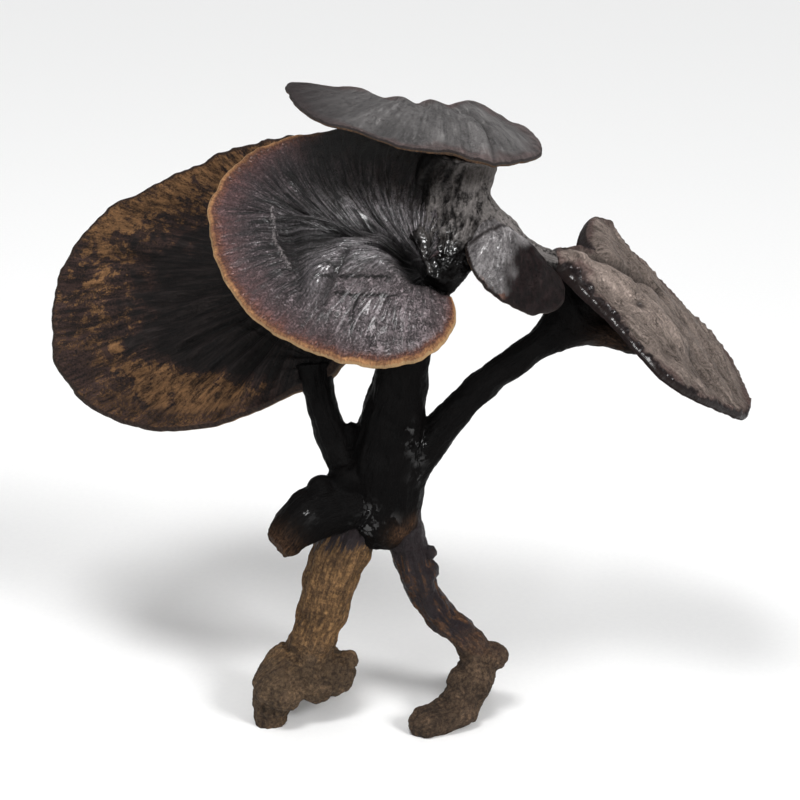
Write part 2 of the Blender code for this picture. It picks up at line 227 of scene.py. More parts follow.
class Wire:
    """A socket of a material's nodes that sums can be written with. Each operator adds its Math node."""

    def __init__(self, tree, socket=None):
        self.tree, self.socket = tree, socket

    def node(self, kind, settings=None, values=None, output=0):
        """A new node: its settings first, then what its sockets hold or are linked to."""
        made = self.tree.nodes.new("ShaderNode" + kind)
        for key, value in (settings or {}).items():
            if key == "stops":
                stops = made.color_ramp.elements
                while len(stops) < len(value):
                    stops.new(0.5)
                for stop, (place, colour) in zip(stops, value):
                    stop.position, stop.color = place, seen(colour)
            else:
                setattr(made, key, value)
        for key, value in (values or {}).items():
            if isinstance(value, Wire):
                self.tree.links.new(value.socket, made.inputs[key])
            else:
                made.inputs[key].default_value = value
        return Wire(self.tree, made.outputs[output])

    def math(self, operation, *values):
        return self.node("Math", {"operation": operation}, dict(enumerate(values)))

    def vector(self, operation, *values, output="Vector", **named):
        return self.node("VectorMath", {"operation": operation}, {**dict(enumerate(values)), **named}, output)

    def __add__(self, other):
        return self.math("ADD", self, other)

    def __sub__(self, other):
        return self.math("SUBTRACT", self, other)

    def __rsub__(self, other):
        return self.math("SUBTRACT", other, self)

    def __mul__(self, other):
        return self.math("MULTIPLY", self, other)

    def __truediv__(self, other):
        return self.math("DIVIDE", self, other)

    __radd__, __rmul__ = __add__, __mul__

    def abs(self):
        return self.math("ABSOLUTE", self)

    def most(self, other):
        return self.math("MAXIMUM", self, other)

    def least(self, other):
        return self.math("MINIMUM", self, other)

    def rise(self, low, high):
        """0 below low, 1 above high, smooth between. With high under low it falls instead."""
        lowest, highest = min(low, high), max(low, high)
        made = self.node("MapRange", {"interpolation_type": "SMOOTHSTEP"},
                         {"Value": self, "From Min": lowest, "From Max": highest})
        return made if low < high else 1 - made

    def stored(self, *names, output="Fac"):
        """The numbers of these names that the mesh's points keep, or their vectors."""
        return [self.node("Attribute", {"attribute_name": name}, output=output) for name in names]

    def drawn(self, along, across=1.0):
        """This vector with its third direction scaled by along and both others by across."""
        return self.vector("MULTIPLY", self, (across, across, along))

    def grain(self, scale=1.0, detail=3.0, roughness=0.55, warp=0.0):
        """Noise on this vector, from 0 to 1."""
        return self.node("TexNoise", {}, {"Vector": self, "Scale": scale, "Detail": detail,
                                          "Roughness": roughness, "Distortion": warp})

    def vein(self, width):
        """1 along the thin lines where this noise crosses its middle value."""
        return (self - 0.5).abs().rise(width, 0.35 * width)

    def cells(self, scale):
        """Distance to the nearest of many scattered points on this vector."""
        return self.node("TexVoronoi", {}, {"Vector": self, "Scale": scale}, "Distance")

    def paint(self, under, over):
        """The colour under where this is 0, and over where it is 1."""
        return self.node("Mix", {"data_type": "RGBA"}, {0: self, 6: seen(under), 7: seen(over)}, 2)

    def dimmed(self, colour, low, high=1.0):
        """The colour, multiplied by low where this is 0 and by high where it is 1."""
        grey = self.node("MapRange", {}, {"Value": self, "To Min": low, "To Max": high})
        return self.vector("SCALE", colour if isinstance(colour, Wire) else seen(colour)[:3], Scale=grey)

    def bump(self, depth):
        """A normal from this height, between 0 and 1. depth is its full depth in millimetres."""
        return self.node("Bump", {}, {"Height": self, "Distance": depth * MM, "Strength": 1.0})


def seen(colour):
    """The shader's colour for the red, green and blue that the eye meets, 0 to 255. A wire stays."""
    if isinstance(colour, Wire):
        return colour
    channels = [c / 255 for c in colour]
    return (*[c / 12.92 if c <= 0.04045 else ((c + 0.055) / 1.055) ** 2.4 for c in channels], 1.0)


def coated(colour, *coats):
    """The colour under coats. Each is a mask, with the colour that it lays on, or with the two factors
    that it dims or brightens by where the mask is 0 and where it is 1."""
    for mask, *over in coats:
        colour = mask.paint(colour, *over) if len(over) == 1 else mask.dimmed(colour, *over)
    return colour


def new_material(name):
    """A material with a Principled BSDF, that shader's sockets, and a first wire to write with."""
    made = bpy.data.materials.new(name)
    made.use_nodes = True
    shader = made.node_tree.nodes["Principled BSDF"]
    return made, shader.inputs, Wire(made.node_tree)


def feed(sockets, **wires):
    """Links wires to the shader's sockets, or sets plain values. Underscores stand for spaces."""
    for key, value in wires.items():
        socket = sockets[key.replace("_", " ")]
        if isinstance(value, Wire):
            value.tree.links.new(value.socket, socket)
        else:
            socket.default_value = value


def lacquered_stem_material():
    """Black lacquer, grey where dust lies and paler where dust passes 1. Its wet coat is broken up by
    specks, and low down by the ridges, so that it glints in points and streaks."""
    material, sockets, wire = new_material("black_lacquer")
    grain, = wire.stored("grain", output="Vector")
    fold, dust, wet, brown = wire.stored("fold", "dust", "wet", "brown")
    place = wire.node("NewGeometry", output="Position")
    ridges = grain.drawn(0.12).grain(0.8, 3.0, 0.6).rise(0.34, 0.66)
    fine = grain.drawn(0.25).grain(2.0, 3.0, 0.6).rise(0.34, 0.66)
    blotches = place.grain(120, 3.0, 0.6)
    specks = place.grain(200, 2.0, 0.5).rise(0.46, 0.52)
    grit = place.grain(800, 4.0, 0.75).rise(0.34, 0.66)
    above = place.node("SeparateXYZ", {}, {"Vector": place}, "Z").rise(0.15, 0.19)
    black = blotches.paint((4, 4, 4), (13, 11, 11))
    grey = (ridges * 0.3 + fine * 0.4 + grit * 0.3).paint((70, 67, 65), (118, 113, 111))
    umber = (fine * 0.5 + grit * 0.5).paint((30, 20, 18), (92, 68, 50))
    crusted = dust * (1 + (fold - 0.6) * 1.1 + (grit - 0.5) * 0.4 + (blotches - 0.5) * 0.6)
    colour = coated(
        black,
        ((brown * 1.5 * (fine * 0.5 + 0.5)).least(1.0), umber),
        (crusted.rise(0.03, 0.8), (dust - 1.0).dimmed(grey, 1.0, 1.8)))
    relief = (ridges * 0.4 + fine * 0.2 + grit * (0.15 + 0.25 * dust)) * (1 - 0.85 * wet)
    feed(sockets, Base_Color=colour,
         Roughness=0.5 - 0.25 * wet + 0.2 * dust + 0.2 * brown,
         Coat_Weight=wet * specks * ridges.rise(0.42, 0.6).most(above),
         Coat_Roughness=0.07, Specular_IOR_Level=0.03, Normal=relief.bump(0.4))
    return material


def spots(points, places):
    """The most of several rounded spots, each (x, y, z, radius, strength), at each point."""
    worth = [strength * bell(np.linalg.norm(points - np.array(centre), axis=1), radius)
             for *centre, radius, strength in places]
    return np.max(worth, axis=0)


NECK_PITS = [(25, 13, 228, 2.3, 1.8), (29.6, 12, 229.5, 1.2, 1.0), (21, 14, 231, 1.4, 1.0),
             (31.5, 12, 224.5, 1.4, 1.1), (35.5, 11, 218.6, 2.0, 2.4), (33.7, 10, 216, 1.1, 1.4),
             (32.0, 9, 213.8, 1.0, 1.2), (17, 8, 220, 1.6, 0.9), (27, 9, 221, 1.3, 0.8)]
STEM_WET = [(12.6, 3, 212.5, 6, 1.8), (12.6, 2, 206.5, 5, 1.8), (19.8, 4, 212, 3.8, 1.6),
            (26.4, 5, 210.4, 3.6, 1.5), (20, 5, 203, 6, 0.2), (12, 8, 219, 3, 0.8),
            (3.5, 10, 134, 3, 0.9), (6, 11, 127, 4, 1.0), (8, 12, 120, 3, 0.9), (6, 13, 112, 3, 0.7),
            (-13, 10, 92, 5, 1.0), (-12, 9, 99, 3.5, 0.8), (-3, 9, 94, 3.5, 0.7),
            (-36, 4, 100, 4, 0.3)]
STEM_UMBER = [(-49, 5, 86, 7, 1.0), (0, 14, 88, 5, 0.7), (4, 16, 92, 3.5, 0.6), (84, 28, 165, 10, 0.25)]
NECK_CREST = [(7, 11, 215, 4, 1), (9, 6, 209, 4, 1), (11.6, 2, 204, 3, 0.8)]

stem_limbs = [TRUNK, TOP_STEM, LEFT_STEM, LEFT_WEB, RIGHT_STEM, RIGHT_FLARE, RIGHT_CHEEK, STUB, *NECK_FRONT,
              RIGHT_ARM, SMALL_CAP_ROOT]
stems = fused_skin("stems", stem_limbs, TRUNK_LUMPS + NECK_LUMPS, STEM_VOXEL, smoothing=8)
points, normals = points_of(stems.data)
weight, grains = along_limbs(points, stem_limbs)
x, _, z = points.T
neck = bell(np.linalg.norm((points - NECK) * (1, 0.6, 0.75), axis=1), 15)

# Dusty crust covers the neck's upper right and its right arm, and lies thinly over its front.
matte = ramp(z + 0.6 * x + 2.5 * noise_at(points, 5, 40), 232.2, 241.2)
matte *= ramp(x + 2 * noise_at(points, 4, 42), 13, 28)
arm = ramp(x + 5 * noise_at(points, 5, 41), 31.5, 37.5) * ramp(z, 201, 206) * ramp(x, 66, 50)
matte = np.maximum(matte, arm)
crest = spots(points, NECK_CREST)
rough = 0.6 * ramp(np.hypot(x - 20, (z - 220) * 0.8), 19.5, 6.5)
rough *= ramp(z + 2.5 * noise_at(points, 3, 43), 208, 216)
rough = np.maximum(rough, 0.36 * crest)

# Folds drape over the front of the neck, and ridges run along every limb. Pits are sunk into both.
drapes = np.column_stack([26 * np.arctan2(z - DRAPE_Z, x - DRAPE_X),
                          np.hypot(x - DRAPE_X, z - DRAPE_Z) / 4, 0 * x])
drapes = ridged(noise_at(drapes, 2.0, 22) + 0.5 * noise_at(drapes, 1.1, 23), 0.8)
ridges = ridged(lengthwise_noise(weight, grains, 5.0, 6, 2))
wet = spots(points, STEM_WET) * 1.3
pits = spots(points, NECK_PITS)
wrinkled = neck * (1 - 0.8 * matte) * (1 - 0.6 * crest) * np.clip((z - 196) / 12, 0.15, 1)
wrinkled *= 1 - 0.55 * np.clip(wet, 0, 1)
lift = (0.9 * noise_at(points, 9, 1) + 1.3 * wet * noise_at(points, 3.4, 35)
        + (0.4 + 1.2 * crest) * (ridges - 0.5) + 0.25 * noise_at(points, 2.2, 33)
        + wrinkled * (2.6 * (drapes - 0.5) + 1.2 * noise_at(points, 2.2, 34)) - pits)
set_points(stems.data, points + normals * lift[:, None])
store(stems.data, "grain", (weight[:, :, None] * grains).sum(0))
store(stems.data, "fold", np.clip(ridges * (1 - neck) + drapes * neck - pits, 0, 1))
store(stems.data, "dust", np.maximum(matte, rough) + 0.6 * arm)
store(stems.data, "wet", np.clip(wet, 0, 1) * (1 - matte))
store(stems.data, "brown", np.clip(spots(points, STEM_UMBER), 0, 1))
stems.data.materials.clear()
stems.data.materials.append(lacquered_stem_material())
stems.data.shade_smooth()
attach(stems, "root")
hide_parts("main_stem", "top_stem", "left_stem", "right_stem", "stem_stub")


# ============================================================ roots
# Two root ends carry the cluster. Their bark is dry, earthy and cracked lengthwise, and the black
# lacquer of the trunk runs down over it from above. Both end in lumps of soil and are cut flat below.

ROOT_VOXEL = 0.55
LEFT_ROOT = [(-15, 24, 98, 10.0), (-19, 24, 88, 11.0), (-24, 23, 76, 11.6), (-29, 22, 62, 11.2),
             (-33, 22, 46, 10.2), (-37, 22, 34, 10.2), (-39, 22, 24, 10.5)]
LEFT_FRONT_TOE = [(-43, 20, 27, 10.0), (-49.8, 18, 20, 10.8), (-53.8, 16, 9, 8.6), (-54.5, 16, -2, 6.8)]
LEFT_BACK_TOE = [(-34, 24, 22, 11.0), (-31, 32, 15, 9.8), (-29, 44, 8, 8.6), (-28, 53, 3, 7.6)]
LEFT_LUMPS = [(-29, 22, 20, 10.2), (-50.4, 14, 18, 11.2), (-22.5, 21, 25.8, 5.2), (-35.5, 17, 17.5, 8.4)]
RIGHT_ROOT = [(0, 24, 94, 9.0), (1.8, 24, 84, 8.2), (5.6, 25, 69, 7.6), (10.4, 26, 54, 7.0),
              (18.6, 26, 42.4, 6.5), (28.2, 25, 34.2, 6.4), (33, 24, 25, 7.6), (29, 19, 14, 8.8),
              (21.5, 12, 6, 8.2), (12, 7, 5, 7.2)]
RIGHT_BACK_TOE = [(33, 24, 20, 7.0), (33, 34, 11, 7.0), (31, 44, 4, 7.0), (30, 49, 1, 6.0)]
RIGHT_LUMPS = [(38.8, 24, 26.4, 6.6), (26, 20, 17, 6.8), (11, 7, 4.5, 7.4), (11.5, 24, 66, 4.6),
               (12.4, 23, 75, 3.0)]


def bark_material(name, lacquer_height, pale, deep, stains):
    """Earthy bark, under black lacquer above lacquer_height. pale and deep are its ochres, and stains
    is how much more of it is black below that height."""
    material, sockets, wire = new_material(name)
    grain, = wire.stored("grain", output="Vector")
    fold, height = wire.stored("fold", "height")
    place = wire.node("NewGeometry", output="Position")
    streaks = grain.drawn(0.1).grain(0.4, 4.0, 0.65)
    fibres = grain.drawn(0.22).grain(1.3, 5.0, 0.7)
    patches = place.grain(85, 4.0, 0.65)
    soil = place.grain(650, 5.0, 0.75)
    lichen = place.grain(210, 4.0, 0.7)
    tooth = (fibres * 0.55 + soil * 0.45).rise(0.38, 0.62)
    earthy = (lichen * 0.6 + height.rise(50.0, 18.0) * 0.4).rise(0.34, 0.66)
    run = height + (streaks - 0.5) * 44.0 + (soil - 0.5) * 10.0
    lacquered = run.rise(lacquer_height - 2.0, lacquer_height + 2.0)
    stained = (streaks * 0.5 + lichen * 0.3 + patches * 0.3).rise(0.56 - stains, 0.62 - stains)
    stained = stained * (height + (patches - 0.5) * 30.0).rise(28.0, 44.0)
    black = lacquered.most(stained)
    colour = coated(
        tooth.paint(deep, pale),
        (earthy * 0.8, soil.rise(0.3, 0.72).paint((56, 45, 36), (96, 80, 63))),
        (patches.rise(0.3, 0.7), 0.62, 1.3),
        (fold.rise(0.3, 0.0) * 0.4, (34, 25, 19)),
        ((soil * 0.5 + lichen * 0.5).rise(0.4, 0.6), 0.7, 1.25),
        (fibres.vein(0.02) * lichen.rise(0.45, 0.6) * 0.7, (40, 29, 22)),
        (black, soil.paint((12, 9, 10), (48, 37, 40))))
    feed(sockets, Base_Color=colour, Roughness=0.92 - 0.5 * black, Specular_IOR_Level=0.2,
         Normal=tooth.bump(0.5))
    return material


def root(name, limbs, lumps, seed, material):
    """One root's bark, ridged lengthwise and lumpier near the ground."""
    made = fused_skin(name, limbs, lumps, ROOT_VOXEL, smoothing=6)
    points, normals = points_of(made.data)
    weight, grains = along_limbs(points, limbs)
    ridges = ridged(lengthwise_noise(weight, grains, 5.5, 7, seed), 0.7)
    flakes = ridged(lengthwise_noise(weight, grains, 2.4, 4, seed + 9))
    low = ramp(points[:, 2], 40, 20)
    lift = (1.6 * noise_at(points, 9, seed) + (0.5 + 0.3 * low) * noise_at(points, 4, seed + 1)
            + (0.2 + 0.15 * low) * noise_at(points, 1.8, seed + 2)
            + (0.7 - 0.4 * low) * (ridges - 0.5) + 0.25 * (flakes - 0.5))
    moved = points + normals * lift[:, None]
    moved[:, 2] = np.maximum(moved[:, 2], 0.0)   # cut flat where the root left the ground
    set_points(made.data, moved)
    store(made.data, "grain", (weight[:, :, None] * grains).sum(0))
    store(made.data, "fold", 0.5 * ridges + 0.5 * flakes)
    store(made.data, "height", points[:, 2])
    made.data.materials.clear()
    made.data.materials.append(material)
    made.data.shade_smooth()
    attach(made, "root")
    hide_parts(name.replace("_bark", ""))


root("left_root_bark", [LEFT_ROOT, LEFT_FRONT_TOE, LEFT_BACK_TOE], LEFT_LUMPS, seed=20,
     material=bark_material("earthy_bark", lacquer_height=79.5, pale=(140, 106, 68), deep=(84, 62, 42),
                            stains=-0.12))
root("right_root_bark", [RIGHT_ROOT, RIGHT_BACK_TOE], RIGHT_LUMPS, seed=40,
     material=bark_material("stained_bark", lacquer_height=70.0, pale=(108, 75, 52), deep=(56, 41, 34),
                            stains=0.075))


# ============================================================ front cap
# The best lit cap is a fan as wide as a hand, with a satin crust that fades from near black at the
# neck to mauve, and a fleshy ochre margin. Fine striae bend out to meet the margin squarely, and a
# domed lobe is folded up against the neck, behind a deep cleft.

ROLL_RINGS = 7        # rings over the rolled edge of a cap
MARGIN_STEPS = 2161   # rows of the closed table that a margin is read from, six for each degree
TANGENT_ROUNDS = 60   # how often a margin is smoothed before the rays are squared to it
FIRST_RING = 0.985    # where the first ring lies round the hub, as a share of the way from the margin
BEND_SHARE = 0.6      # how far back from the margin a ray is bent, as a share of its length
DISH_WIDTH = 16.0     # size of the hollow on top, over the stem
FREE_RIM = 8.0        # width of the band below whose relief follows the relief on top
HUB_INSET = 50.0      # what the hub's points store as their distance from the margin


def ring_value(table, angle):
    """The value at an angle of a smooth closed curve through (angle, value) pairs, never overshooting."""
    count = len(table)
    turned = (angle - table[0][0]) % 360.0 + table[0][0]
    after = next((i for i, row in enumerate(table) if row[0] > turned), count)

    def row(i):
        turns, place = divmod(i, count)
        return table[place][0] + 360.0 * turns, table[place][1]

    def slope(i):
        (x0, y0), (x1, y1), (x2, y2) = row(i - 1), row(i), row(i + 1)
        before, behind = (y1 - y0) / (x1 - x0), (y2 - y1) / (x2 - x1)
        if before * behind <= 0:
            return 0.0
        return 2 * before * behind / (before + behind)

    (x0, y0), (x1, y1) = row(after - 1), row(after)
    t = (turned - x0) / (x1 - x0)
    a, b = slope(after - 1) * (x1 - x0), slope(after) * (x1 - x0)
    return (y0 * (2 * t**3 - 3 * t**2 + 1) + a * (t**3 - 2 * t**2 + t)
            + y1 * (3 * t**2 - 2 * t**3) + b * (t**3 - t**2))


def near_line(at, line, width):
    """1 on a bent line in a cap's plane, falling smoothly to 0 a few widths away from it."""
    best = np.full(at.u.shape, 1e9)
    for (u0, w0), (u1, w1) in zip(line, line[1:]):
        du, dw = u1 - u0, w1 - w0
        t = np.clip(((at.u - u0) * du + (at.w - w0) * dw) / (du * du + dw * dw), 0, 1)
        best = np.minimum(best, (at.u - u0 - t * du) ** 2 + (at.w - w0 - t * dw) ** 2)
    return np.exp(-best / width**2)


def near_spot(at, u0, w0, width_u, width_w, turn=0.0):
    """1 at a spot in a cap's plane, falling off like a mound, longer one way than the other."""
    c, s = math.cos(math.radians(turn)), math.sin(math.radians(turn))
    a, b = (at.u - u0) * c + (at.w - w0) * s, (at.w - w0) * c - (at.u - u0) * s
    return np.exp(-(a / width_u) ** 2 - (b / width_w) ** 2)


def forms(at, *rows):
    """The sum of forms in a cap's plane: each a strength, with a line and its width, or with a spot."""
    return sum(strength * (near_line if isinstance(shape[0], list) else near_spot)(at, *shape)
               for strength, *shape in rows)


def grid_noise(grid, seed):
    """Noise at each place of a grid of vectors, with lumps of size 1."""
    return noise_at(grid.reshape(-1, 3), 1.0, seed).reshape(grid.shape[:2])


def drawn_noise(at, around, outward, seed):
    """Noise round a cap: around and outward are how many lumps fit round the margin and from hub to rim."""
    turns = around / (2 * math.pi)
    return grid_noise(at.growth * (turns, turns, outward), seed)


def lay_noise(at, size_u, size_w, seed):
    """Noise over a cap's plane, with lumps of the given sizes."""
    return grid_noise(np.dstack([at.u / size_u, at.w / size_w, 0 * at.u]), seed)


class Cap:
    """A bracket-like cap, described round its hub, where the stem meets it.

    hub      the middle of the flesh over the stem
    forward  from the hub towards the far margin
    up       square to the cap, out of its lacquered side
    margin   (angle, distance from the hub); 0 is forward and 90 is to the side given by up x forward
    droop    (angle, height of the margin off the flat of the cap)
    folds    (angle, half width, height): rays that stand up or sink, growing towards the margin
    bow      0 for straight rays from the hub, up to 1 for rays that meet the margin squarely
    ragged   (height, length) of the small waves of the margin
    mesh     points round the margin, rings on top, and rings below
    flare    how far the underside runs down the stem, over flare_width
    dish     how far the top sinks over the stem
    hub_thick and rim_thick are its thickness at the hub and at the margin.
    """

    def __init__(self, hub, forward, up, margin, droop, mesh, hub_thick, rim_thick, bow, ragged, seed,
                 folds=(), flare=0.0, flare_width=12.0, dish=0.0):
        self.hub = np.array(hub)
        self.up = np.array(Vector(up).normalized())
        forward = np.array(forward) - np.dot(forward, self.up) * self.up
        self.forward = forward / np.linalg.norm(forward)
        self.side = np.cross(self.up, self.forward)
        self.margin, self.droop, self.folds = margin, droop, folds
        self.around, self.rings_top, self.rings_under = mesh
        self.hub_thick, self.rim_thick = hub_thick, rim_thick
        self.flare, self.flare_width, self.dish = flare, flare_width, dish
        self.bow, self.ragged, self.seed = bow, ragged, seed
        self.lay_out_rays()

    def outline(self):
        """Closed tables of angle, distance and height for the margin, fine enough to read between."""
        self.table_angle = np.linspace(-180, 180, MARGIN_STEPS)
        reach = np.array([ring_value(self.margin, a) for a in self.table_angle])
        self.table_droop = np.array([ring_value(self.droop, a) for a in self.table_angle])
        turn = np.radians(self.table_angle)
        plain = reach[:, None] * np.column_stack([np.cos(turn), np.sin(turn)])
        height, length = self.ragged
        waves = noise_at(np.column_stack([plain, 0 * turn]), length, self.seed)
        waves += 0.4 * noise_at(np.column_stack([plain, 0 * turn + 9]), length / 3, self.seed)
        self.table_reach = reach + height * waves * ramp(reach, 8, 28)
        self.table_reach[-1] = self.table_reach[0]
        return plain

    def lay_out_rays(self):
        """Where each of the rays meets the margin, and the point that bends it on its way there."""
        plain = self.outline()
        steps = np.linalg.norm(np.diff(plain, axis=0), axis=1)
        length = np.concatenate([[0], np.cumsum(steps)])
        at = np.linspace(0, length[-1], self.around, endpoint=False)
        angle = np.interp(at, length, self.table_angle)
        reach = np.interp(angle, self.table_angle, self.table_reach)
        turn = np.radians(angle)
        end = reach[:, None] * np.column_stack([np.cos(turn), np.sin(turn)])
        smooth = np.column_stack([np.interp(at, length, plain[:, k]) for k in (0, 1)])
        for _ in range(TANGENT_ROUNDS):
            smooth = (np.roll(smooth, 1, 0) + 2 * smooth + np.roll(smooth, -1, 0)) / 4
        tangent = np.roll(smooth, -1, 0) - np.roll(smooth, 1, 0)
        inward = np.column_stack([-tangent[:, 1], tangent[:, 0]])
        inward /= np.linalg.norm(inward, axis=1)[:, None]
        straight = -end / reach[:, None]
        lean = self.bow * ramp(reach, 16, 56)[:, None]
        self.end = end
        self.bend = end + BEND_SHARE * reach[:, None] * (straight + lean * (inward - straight))
        self.turn = at / length[-1] * 2 * math.pi
        self.turns = length[-1] / (2 * math.pi)

    def face(self, rings, facing, relief):
        """Rows of points from the hub to the margin, on top or below, and where they are on the cap."""
        length, edge = np.linalg.norm(self.end, axis=1), 0.5 * self.rim_thick
        even = np.linspace(1, 0, rings)[:, None] * (FIRST_RING * length - edge)
        roll = 1 - np.sin(np.linspace(0, math.pi / 2, ROLL_RINGS + 1)[1:])
        inset = np.vstack([even + edge, np.outer(edge * roll, 0 * length + 1)])
        s = np.clip(1 - inset / length, 0.0, 1)[:, :, None]
        flat = 2 * s * (1 - s) * self.bend + s**2 * self.end
        at = SimpleNamespace(u=flat[:, :, 0], w=flat[:, :, 1])
        at.angle = np.degrees(np.arctan2(at.w, at.u))
        reach = np.interp(at.angle, self.table_angle, self.table_reach)
        distance = np.hypot(at.u, at.w)
        at.share = np.minimum(1, distance / reach)
        at.inset = np.maximum(0, reach - distance)
        turn = self.turn + 0 * at.u
        at.growth = np.dstack([np.cos(turn), np.sin(turn), s[:, :, 0]])
        height = np.interp(at.angle, self.table_angle, self.table_droop) * at.share**2
        for middle, half_width, rise in self.folds:
            apart = (at.angle - middle + 180) % 360 - 180
            height += rise * at.share**1.5 * bell(apart, half_width)
        height -= self.dish * bell(distance, DISH_WIDTH)
        half = 0.5 * (self.rim_thick + (self.hub_thick - self.rim_thick) * (1 - at.share) ** 1.3)
        rolled = ramp(at.inset, 0, edge)
        height += facing * half * np.sqrt(1 - (1 - rolled) ** 2)
        if facing < 0:
            height -= self.flare * bell(distance, self.flare_width)
        at.lift = relief(at)
        if facing > 0:
            self.rim_lift = at.lift[-1]
        inner = ramp(at.inset, 0, FREE_RIM) if facing < 0 else 1.0
        height += inner * at.lift + (1 - inner) * self.rim_lift
        at.points = (self.hub + at.u[..., None] * self.forward + at.w[..., None] * self.side
                     + height[..., None] * self.up)
        return at

    def build(self, name, top_relief, under_relief, marks):
        """The cap as one closed mesh. marks names what else its material needs to know on top."""
        top = self.face(self.rings_top, 1, top_relief)
        under = self.face(self.rings_under, -1, under_relief)

        def ringed(upper, lower, *at_hub):
            rows = np.concatenate([upper, lower[-2::-1]])
            return np.append(rows.reshape(rows.shape[0] * self.around, -1), at_hub, axis=0)

        def keep(key, upper, lower, *at_hub):
            rows = ringed(upper, lower, *at_hub)
            store(mesh, key, rows if rows.shape[1] == 3 else rows.ravel())

        rows = len(top.u) + len(under.u) - 1
        index = np.arange(rows * self.around).reshape(rows, self.around)
        a, b = index[:-1], index[1:]
        quads = np.dstack([a, b, np.roll(b, -1, 1), np.roll(a, -1, 1)]).reshape(-1, 4).tolist()
        first, last = index.size, index.size + 1
        fans = [(first, i, j) for i, j in zip(index[0].tolist(), np.roll(index[0], -1).tolist())]
        fans += [(last, j, i) for i, j in zip(index[-1].tolist(), np.roll(index[-1], -1).tolist())]
        mesh = bpy.data.meshes.new(name)
        points = ringed(top.points, under.points, top.points[0].mean(0), under.points[0].mean(0))
        points = (points + LAYOUT_SHIFT) * MM
        mesh.from_pydata(points.tolist(), [], quads + fans)
        flat, origin = [np.dstack([at.u, at.w, 0 * at.u]) for at in (top, under)], (0.0, 0.0, 0.0)
        keep("growth", top.growth, under.growth, (1.0, 0.0, 0.0), (1.0, 0.0, 0.0))
        keep("inset", top.inset, under.inset, [HUB_INSET], [HUB_INSET])
        keep("lay", *flat, origin, origin)
        keep("under", 0 * top.u, 0 * under.u + 1, [0.0], [1.0])
        keep("lift", top.lift, 0 * under.u, [0.0], [0.0])
        for key, mark in marks.items():
            upper = mark(top)
            if upper.ndim == 3:
                keep(key, upper, flat[1], origin, origin)
            else:
                keep(key, upper, 0 * under.u, upper[:1].mean(1), [0.0])
        mesh.shade_smooth()
        return mesh


def cap_piece(name, cap, node, slot, material, top_relief, under_relief, **marks):
    made = linked(name, cap.build(name, top_relief, under_relief, marks))
    made.data.materials.append(material)
    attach(made, "root")
    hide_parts(node)


def pore_relief(at):
    """The underside: gentle waves that follow the growth, and a narrow sterile band at the margin."""
    return -0.5 * drawn_noise(at, 14, 3, 77) - 0.3 * bell(at.inset - 4, 1.5)


def pore_layer(wire, pale, deep):
    """The colour and height of the tiny pores that cover the underside of every cap."""
    growth, lay = wire.stored("growth", "lay", output="Vector")
    pores = lay.cells(1.6).rise(0.15, 0.45)
    zones = growth.drawn(9.0, 1.5).grain(1.0, 3.0)
    return (pores * 0.3 + zones * 0.7).paint(deep, pale), pores


FRONT = Cap(
    hub=(10.7, 6.0, 203.5), forward=(-0.96, 0.267, 0.082), up=(-0.15, -0.74, 0.655),
    margin=[(-150, 10), (-120, 26), (-100, 41), (-77, 53), (-57, 65.5), (-50, 71), (-43, 75), (-30, 86),
            (-17, 93), (-8, 94), (1, 89), (10, 83), (17, 78.4), (27, 71), (39, 62), (51, 54.4), (67, 47),
            (89, 39.4), (105, 33.8), (118, 28.6), (127, 24.6), (133, 20.4), (138, 15), (143, 11), (152, 8),
            (180, 8)],
    droop=[(-150, 0), (-77, -6), (-43, -4), (-10, -2), (10, -2), (40, -5), (80, -8), (110, -8),
           (131, -5), (150, 0), (180, 0)],
    mesh=(600, 96, 20), folds=[(14, 10, 2.0), (-4, 8, -1.4), (-52, 12, 1.2), (60, 12, 1.0)],
    hub_thick=9.0, rim_thick=2.9, flare=7.0, flare_width=13.0, dish=1.0, bow=0.95, ragged=(0.9, 7.0),
    seed=3)

FRONT_CREST = [(12, 6), (18, 2.5), (26, 2), (33, 3.5), (38, 8.5), (41, 16)]
FRONT_DOME = [(6, 19), (15, 12), (25, 11), (33, 15)]
FRONT_CREASE = [(30.6, 1.9), (32.5, 8.7), (34.8, 17.2), (36.1, 22.9)]
FRONT_VALLEYS = [[(60, -3), (52, -2.4), (45, -4), (36, -9), (26, -10)],
                 [(58, -4), (54, 4), (49, 12), (46, 18)]]
FRONT_STEP = [(66.5, -13), (62.3, 0.4), (60.2, 2.5), (52.1, 11.2)]
FRONT_CLEFT = [(17, -3.3), (12.1, -2.6), (5.9, 3.0), (2.8, 5.4), (-2.5, 5.0), (-8, 6.5)]


def front_form(at):
    """The folded lobe, with its crest and cleft, and the valleys beside it. Both faces follow them."""
    height = forms(at, (4.6, FRONT_CREST, 5.5), (3.0, FRONT_DOME, 8.0), (3.0, 2, -20, 12, 10),
                   (-3.6, FRONT_VALLEYS[0], 6.0), (-2.4, FRONT_VALLEYS[1], 4.0))
    return height - 10.0 * np.minimum(1, 1.6 * near_line(at, FRONT_CLEFT, 3.2)) * ramp(at.u, 20, 11)


